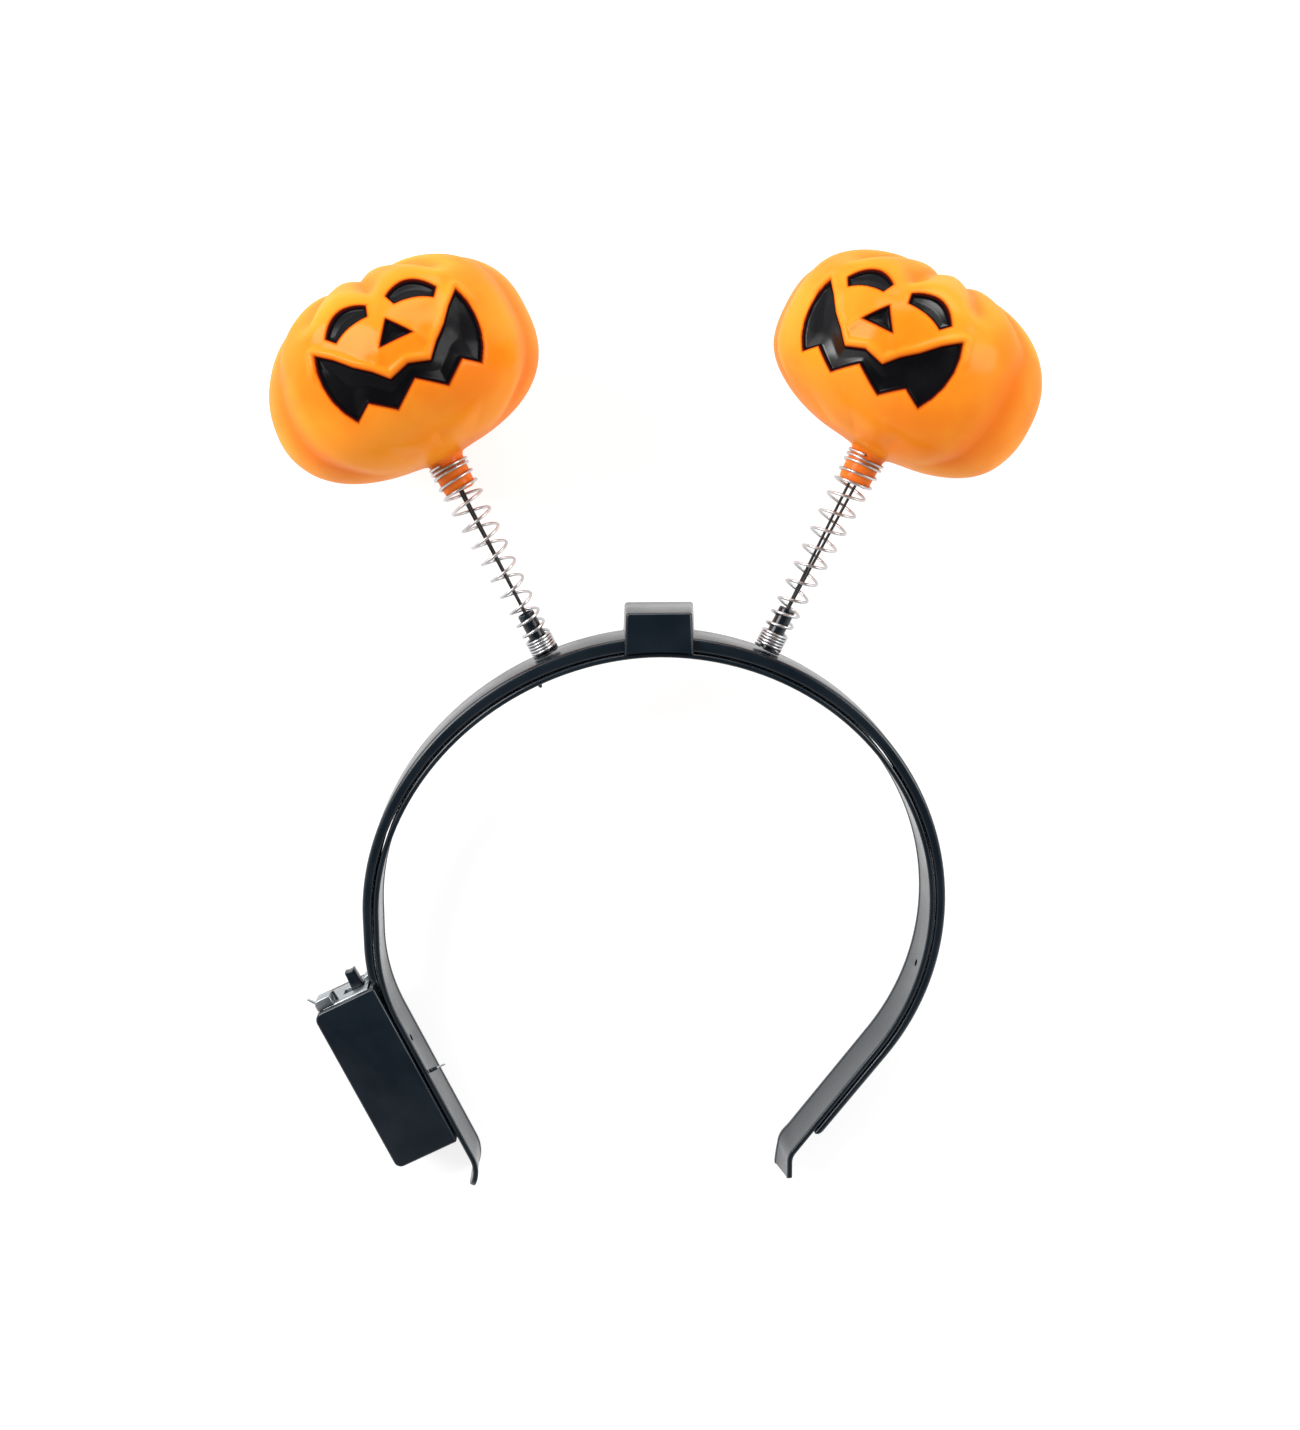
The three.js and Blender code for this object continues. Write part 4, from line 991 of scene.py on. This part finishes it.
plate_low = PLATE_ENDS[0], BOX_TOP - PLATE_BELOW, -PLATE_HALF_DEPTH
plate_high = PLATE_ENDS[1], BOX_TOP + PLATE_ABOVE, PLATE_HALF_DEPTH
switch_block = block("switch_body", plate_low, plate_high)
slot_low = KNOB_MIDDLE - KNOB_TRAVEL - SLOT_HALF, BOX_TOP - 10.0, -SLOT_HALF
slot_high = KNOB_MIDDLE + SLOT_HALF, BOX_TOP + 5.0, SLOT_HALF
cut(switch_block, block("slot_cutter", slot_low, slot_high))
tall_block = standing_block("tall_block", TALL_BLOCK)
outer_end, block_top = TALL_BLOCK["x"][0] + 0.1, BOX_TOP + TALL_BLOCK["rise"] - 0.1
round_edges(tall_block, lambda middle: middle.x < outer_end and middle.y > block_top, TALL_BLOCK["round"], 6)
wedge = standing_block("arm_wedge", WEDGE)
wedge_corner = (WEDGE["x"][1], BOX_TOP + WEDGE["rise"], 0.0)
select_faces(wedge, lambda middle, normal: normal.y > 0.9)
bpy.ops.transform.rotate(value=math.radians(WEDGE["slant"]), orient_axis="Z", center_override=wedge_corner)
bpy.ops.object.mode_set(mode="OBJECT")
joined(switch_block, tall_block, wedge)
soften(switch_block, 0.3, 3, 40)
settle(switch_block, battery_frame, smooth_angle=35)
set_on(switch_block, "switch_plate", "band")

# %% [markdown]
# The knob is a black peg that tapers towards its top, where a shallow notch gives the thumb a hold. It
# is a cube with its top face pulled in; two bisects mark the notch, and its floor is pushed down.

# %% Switch knob
KNOB_BASE, KNOB_TOP, KNOB_HALF = BOX_TOP - 1.5, BOX_TOP + 4.7, 1.5
KNOB_TAPER = (0.8, 1.0, 0.9)
NOTCH_HALF, NOTCH_DEPTH = 0.45, 0.3
knob_low = KNOB_MIDDLE - KNOB_HALF, KNOB_BASE, -KNOB_HALF
knob = block("switch_slider", knob_low, (KNOB_MIDDLE + KNOB_HALF, KNOB_TOP, KNOB_HALF))
select_faces(knob, lambda middle, normal: normal.y > 0.9)
bpy.ops.transform.resize(value=KNOB_TAPER)
for side in (LEFT, RIGHT):
    bpy.ops.mesh.select_all(action="SELECT")
    notch_edge = KNOB_MIDDLE + side * NOTCH_HALF
    bpy.ops.mesh.bisect(plane_co=(notch_edge, 0.0, 0.0), plane_no=(1.0, 0.0, 0.0))
bpy.ops.object.mode_set(mode="OBJECT")
select_faces(knob, lambda middle, normal: normal.y > 0.9 and abs(middle.x - KNOB_MIDDLE) < 0.1)
bpy.ops.transform.translate(value=(0.0, -NOTCH_DEPTH, 0.0))
bpy.ops.object.mode_set(mode="OBJECT")
soften(knob, 0.25, 3, 50)
settle(knob, battery_frame, smooth_angle=35)
set_on(knob, "switch_knob", "switch")

# %% [markdown]
# Three small pins complete the arm: a black pin and a bent wire end on the switch, and a stepped pin
# that sticks out of the strip's inner face. They are turned parts, so each is half an outline that
# is spun round its axis, and then stood up in the arm's frame with a lean.

# %% Turned pins
CONTACT_PIN = {"at": (BOX_OUTER + 6.1, BOX_TOP - 1.1, 3.0), "lean": 4.0}
CONTACT_WIRE = {"at": (BOX_OUTER + 2.0, BOX_TOP + 1.3, 5.0), "lean": 35.0}
ARM_PIN = {"at": (-0.05, -5.0, 4.6), "lean": -90.0}
ARM_PIN_PROFILE = [(0, 0), (0.45, 0), (0.45, 1.85), (0.38, 2.0), (0.22, 2.05), (0.22, 4.1), (0.15, 4.2), (0, 4.2)]


def turned(name, profile, steps=32):
    """Spins half an outline of radius and height round Y, closed at the axis."""
    begin()
    bpy.ops.mesh.primitive_circle_add(vertices=len(profile), radius=1.0, fill_type="NOTHING")
    piece = bpy.context.object
    piece.name = piece.data.name = name
    for vertex, (radius, height) in zip(piece.data.vertices, profile):
        vertex.co = (radius, height, 0.0)
    bpy.ops.object.mode_set(mode="EDIT")
    bpy.ops.mesh.select_all(action="SELECT")
    bpy.ops.mesh.spin(steps=steps, angle=2 * math.pi, center=(0, 0, 0), axis=(0, 1, 0))
    bpy.ops.mesh.select_all(action="SELECT")
    bpy.ops.mesh.remove_doubles(threshold=0.001)
    bpy.ops.mesh.normals_make_consistent(inside=False)
    bpy.ops.object.mode_set(mode="OBJECT")
    return piece


def rod_profile(radius, end_radius, length, soft):
    side = [(radius, 0.0), (end_radius, length - soft), (end_radius - soft * 0.3, length - soft * 0.3)]
    return [(0.0, 0.0), *side, (end_radius - soft, length), (0.0, length)]


def stood_up(piece, row):
    lean = Matrix.Rotation(math.radians(row["lean"]), 4, "Z")
    return settle(piece, battery_frame @ Matrix.Translation(row["at"]) @ lean, smooth_angle=40)


contact_pin = stood_up(turned("contact_peg", rod_profile(0.35, 0.32, 3.5, 0.15)), CONTACT_PIN)
set_on(contact_pin, "contact_pin", "band")
contact_wire = stood_up(turned("contact_tail", rod_profile(0.36, 0.3, 3.0, 0.12)), CONTACT_WIRE)
set_on(contact_wire, "contact_wire", "band")
box_pin = stood_up(turned("arm_pin", ARM_PIN_PROFILE), ARM_PIN)
set_on(box_pin, "box_pin", "band")

# %% [markdown]
# The spring posts are turned too: a thin black flange on the band, under the tight turns of the
# spring, and a tube that carries on up inside the coil.

# %% Spring posts
POST_BORE, POST_TUBE, POST_FLANGE, POST_TOP = 1.35, 1.95, 3.2, 10.8
posts = []
for side, row in BOPPERS.items():
    foot = row["post_foot"]
    profile = [(POST_BORE, foot), (POST_FLANGE, foot), (POST_FLANGE, foot + 0.3)]
    profile += [(POST_FLANGE - 0.1, foot + 0.4), (POST_TUBE, foot + 0.4), (POST_TUBE, POST_TOP - 0.3)]
    profile += [(POST_TUBE - 0.1, POST_TOP - 0.05), (1.6, POST_TOP), (POST_BORE, POST_TOP - 0.1)]
    post = settle(turned(f"spring_foot_{side}", profile, 48), row["spring_frame"], smooth_angle=40)
    set_on(post, f"spring_post_{side}", "band")
    posts.append(post)

# %% [markdown]
# Each spring is one length of steel wire: five tight turns on the flange, open turns that grow
# wider, and tighter turns again that grip the neck. A loop works out the helix, and a curve with a round
# bevel becomes its wire. When a pumpkin sways or nods the coil bends, so the wire is cut in the middle
# into a lower half, from band to coil, and an upper half, from coil to pumpkin. The two black leads
# inside the coil are made and cut the same way.

# %% Springs and leads
WIRE_RADIUS, LEAD_RADIUS, WIRE_SIDES = 0.35, 0.33, 3
LEAD_REACH_BELOW, LEAD_REACH_ABOVE = 0.36, 0.8
LEAD_START, LEAD_RISE, NECK_BEND_RUN = 7.0, 39.0, 12
COIL_START = (0.0, 1.05, 2.9)
COIL_ROWS = {
    "tight on the flange": {"turns": 5.0, "end": 4.65, "radius": 2.9},
    "opening": {"turns": 2.2, "end": 11.0, "radius": 3.1},
    "open": {"turns": 7.0, "end": 42.0, "radius": 4.2},
    "spaced on the neck": {"turns": 2.5, "end": 48.0, "radius": 4.25},
    "tight at the neck root": {"turns": 2.0, "end": 50.0, "radius": 4.3},
}
COIL_LENGTH = 43.0
COIL_CUT, LOWER_BEND, UPPER_BEND = 24.0, (7.0, 24.0), (24.0, 42.0)


def towards_neck(points, row):
    """Turns points near the top of the spring onto the neck's axis."""
    straight, neck_turn = Quaternion(), row["neck_turn"].to_quaternion()
    pivot = Vector((0.0, row["spring"], 0.0))
    shares = ease(points[:, 1], row["spring"] - NECK_BEND_RUN, row["spring"])
    turns = [straight.slerp(neck_turn, share) for share in shares]
    bent = [turn @ (Vector(point) - pivot) for turn, point in zip(turns, points)]
    return np.array(bent) + np.array(pivot)


def coil_points(row, steps_per_turn=40):
    knots = [COIL_START]
    for stretch in COIL_ROWS.values():
        knots.append((knots[-1][0] + stretch["turns"], stretch["end"], stretch["radius"]))
    knots = np.array(knots)
    turn = np.linspace(0, knots[-1, 0], int(knots[-1, 0] * steps_per_turn) + 1)
    height, radius = (np.interp(turn, knots[:, 0], knots[:, column]) for column in (1, 2))
    height *= row["spring"] / COIL_LENGTH
    angle = -2 * np.pi * turn
    return np.column_stack([radius * np.cos(angle), height, radius * np.sin(angle)])


def lead_points(which, twist, steps=60):
    share = np.linspace(0, 1, steps + 1)
    angle = math.pi / 2 - twist * share
    reach = which * (LEAD_REACH_BELOW + (LEAD_REACH_ABOVE - LEAD_REACH_BELOW) * share)
    height = LEAD_START + LEAD_RISE * share
    return np.column_stack([reach * np.cos(angle), height, reach * np.sin(angle)])


def wire(name, points, radius, place):
    curve = bpy.data.curves.new(name, "CURVE")
    curve.dimensions = "3D"
    curve.bevel_depth, curve.bevel_resolution, curve.use_fill_caps = radius, WIRE_SIDES, True
    spline = curve.splines.new("POLY")
    spline.points.add(len(points) - 1)
    spline.points.foreach_set("co", np.column_stack([points, np.ones(len(points))]).ravel())
    piece = bpy.data.objects.new(name, curve)
    bpy.context.scene.collection.objects.link(piece)
    take_up(piece)
    bpy.ops.object.convert(target="MESH")
    return settle(bpy.context.object, place, smooth_angle=60)


def wire_in_halves(name, node, side, points, radius):
    """Cuts a wire at the middle of the coil into a lower and an upper half."""
    row = BOPPERS[side]
    middle = int(np.searchsorted(points[:, 1], COIL_CUT))
    points = towards_neck(points, row)
    halves = {
        "lower": (points[: middle + 1], "band", f"coil_{side}", LOWER_BEND),
        "upper": (points[middle:], f"coil_{side}", f"head_{side}", UPPER_BEND),
    }
    made = []
    for half, (stretch, first, second, heights) in halves.items():
        piece = wire(f"{name}_{half}", stretch, radius, row["spring_frame"])
        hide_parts(node)
        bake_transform(piece)
        made.append(piece)
    return made


coils, leads = [], []
for side, row in BOPPERS.items():
    turns = coil_points(row)
    coils += wire_in_halves(f"coil_{side}", f"spring_{side}", side, turns, WIRE_RADIUS)
    twist = row["sign"] * math.radians(row["lead_twist"])
    for letter, which in {"a": -1, "b": 1}.items():
        lead = f"lead_{side}_{letter}"
        leads += wire_in_halves(lead, lead, side, lead_points(which, twist), LEAD_RADIUS)
print("wires:", [(piece.name, len(piece.data.polygons)) for piece in coils + leads])

# %% [markdown]
# All the black mouldings are one plastic, semi-gloss and slightly blue. Its surface waves a little
# from the mould, which breaks long highlights up, and it is scuffed a touch rougher here and there.
# The metals and sleeves below drift in the same way, so one function makes all of them from a row of
# values.

# %% Black plastic
BLACK_PLASTIC = {
    "dark": (0.001, 0.005, 0.010), "light": (0.003, 0.008, 0.014), "rough": (0.2, 0.3), "metallic": 0.0,
    "cloud_scale": 90.0, "grain_scale": 1600.0, "bump": 0.06, "bump_depth": 0.0001,
}


def clouded_finish(name, row):
    """A finish whose colour and roughness drift between two values each, over a fine grain."""
    finish, tree, shader = new_finish(name)
    grain = place_grain(tree, row["cloud_scale"], row["grain_scale"])
    clouds = grain.outputs["Clouds"]
    colour = mixed(tree, ranged(tree, clouds, 0.35, 0.65), row["dark"], row["light"])
    tree.links.new(colour, shader.inputs["Base Color"])
    tree.links.new(ranged(tree, clouds, 0.3, 0.7, *row["rough"]), shader.inputs["Roughness"])
    shader.inputs["Metallic"].default_value = row["metallic"]
    bumped(tree, shader, grain.outputs["Grain"], row["bump"], row["bump_depth"])
    return finish


black_plastic = clouded_finish("black_plastic", BLACK_PLASTIC)
mouldings = [band_strip, band_channel, housing, battery_box, knob, contact_pin, *posts]
dress(black_plastic, *mouldings)
print("black plastic on", len(mouldings), "pieces")

# %% [markdown]
# The wire is drawn steel, a little dulled, with faint streaks of roughness. The switch plate and the
# pins are a duller grey metal, and the thick foot of the arm's pin is black. The leads are sleeved in
# soft black vinyl, which hardly shines.

# %% Steel, grey metal and lead sleeves
METAL = {"metallic": 1.0, "grain_scale": 2500.0, "bump": 0.08, "bump_depth": 0.00005}
STEEL = {"dark": (0.50, 0.50, 0.51), "light": (0.63, 0.63, 0.64), "rough": (0.26, 0.38), "cloud_scale": 300.0}
GREY = {"dark": (0.36, 0.39, 0.41), "light": (0.43, 0.46, 0.48), "rough": (0.34, 0.46), "cloud_scale": 250.0}
SLEEVE = {
    "dark": (0.003, 0.003, 0.003), "light": (0.005, 0.005, 0.005), "rough": (0.5, 0.65), "metallic": 0.0,
    "cloud_scale": 200.0, "grain_scale": 3000.0, "bump": 0.1, "bump_depth": 0.00005,
}
PIN_FOOT_LENGTH = 0.0021

dress(clouded_finish("steel_wire", METAL | STEEL), *coils)
dress(clouded_finish("grey_metal", METAL | GREY), switch_block, contact_wire, box_pin)
dress(clouded_finish("lead_sleeve", SLEEVE), *leads)
box_pin.data.materials.append(black_plastic)
pin_foot = battery_frame @ Vector(ARM_PIN["at"])
for face in box_pin.data.polygons:
    face.material_index = int((face.center - pin_foot).length < PIN_FOOT_LENGTH)
print("metals on", len(coils) + 3, "pieces, sleeves on", len(leads))

# %% [markdown]
# The stage is a plain pale table, lit softly from below as product tables are, so shadows stay faint.
# Above it hang a large softbox at the upper left, a smaller one at the right and one beyond the crown.
# The pale room around them is darker straight overhead, so that black plastic stays black where it
# faces the camera.

# %% Floor, light and room
TABLE_DARK, TABLE_LIGHT, TABLE_GLOW, WHITE = (0.34, 0.34, 0.34), (0.37, 0.37, 0.37), 0.78, (1.0, 1.0, 1.0, 1.0)
SOFTBOXES = {
    "key_softbox": {"place": (-0.65, 0.35, 0.55), "aim": (0.0, 0.03, 0.02), "size": (0.5, 0.5), "power": 7.5},
    "fill_softbox": {"place": (0.7, 0.15, 0.5), "aim": (0.0, 0.0, 0.02), "size": (0.4, 0.5), "power": 3.0},
    "crown_softbox": {"place": (0.05, 0.8, 0.4), "aim": (0.0, 0.03, 0.02), "size": (0.7, 0.3), "power": 3.5},
}
ROOM_GLOW_LOW, ROOM_GLOW_OVERHEAD = 1.0, 0.15

begin()
bpy.ops.mesh.primitive_plane_add(size=4.0, location=(0.0, 0.0, 0.0))
floor = bpy.context.object
floor.name = "floor"
floor_finish, tree, shader = new_finish("pale_table")
clouds = add(tree, "ShaderNodeTexNoise")
clouds.inputs["Scale"].default_value = 3.0
table_colour = mixed(tree, clouds.outputs["Fac"], TABLE_DARK, TABLE_LIGHT)
tree.links.new(table_colour, shader.inputs["Base Color"])
shader.inputs["Roughness"].default_value = 0.9
shader.inputs["Emission Color"].default_value = WHITE
shader.inputs["Emission Strength"].default_value = TABLE_GLOW
floor.data.materials.append(floor_finish)


def softbox(name, place, aim, size, power):
    lamp = bpy.data.lights.new(name, "AREA")
    lamp.shape = "RECTANGLE"
    lamp.size, lamp.size_y = size
    lamp.energy = power
    box = bpy.data.objects.new(name, lamp)
    bpy.context.scene.collection.objects.link(box)
    box.location = place
    box.rotation_euler = (Vector(aim) - Vector(place)).to_track_quat("-Z", "Y").to_euler()


for name, row in SOFTBOXES.items():
    softbox(name, **row)
room = bpy.data.worlds.new("pale_room")
bpy.context.scene.world = room
room.use_nodes = True
tree = room.node_tree
where = add(tree, "ShaderNodeTexCoord")
split = add(tree, "ShaderNodeSeparateXYZ")
tree.links.new(where.outputs["Generated"], split.inputs["Vector"])
glow = ranged(tree, split.outputs["Z"], 0.25, 0.9, ROOM_GLOW_LOW, ROOM_GLOW_OVERHEAD)
tree.nodes["Background"].inputs["Color"].default_value = WHITE
tree.links.new(glow, tree.nodes["Background"].inputs["Strength"])
bpy.context.scene.view_settings.view_transform = "Standard"
print("stage ready with", len(SOFTBOXES), "softboxes")
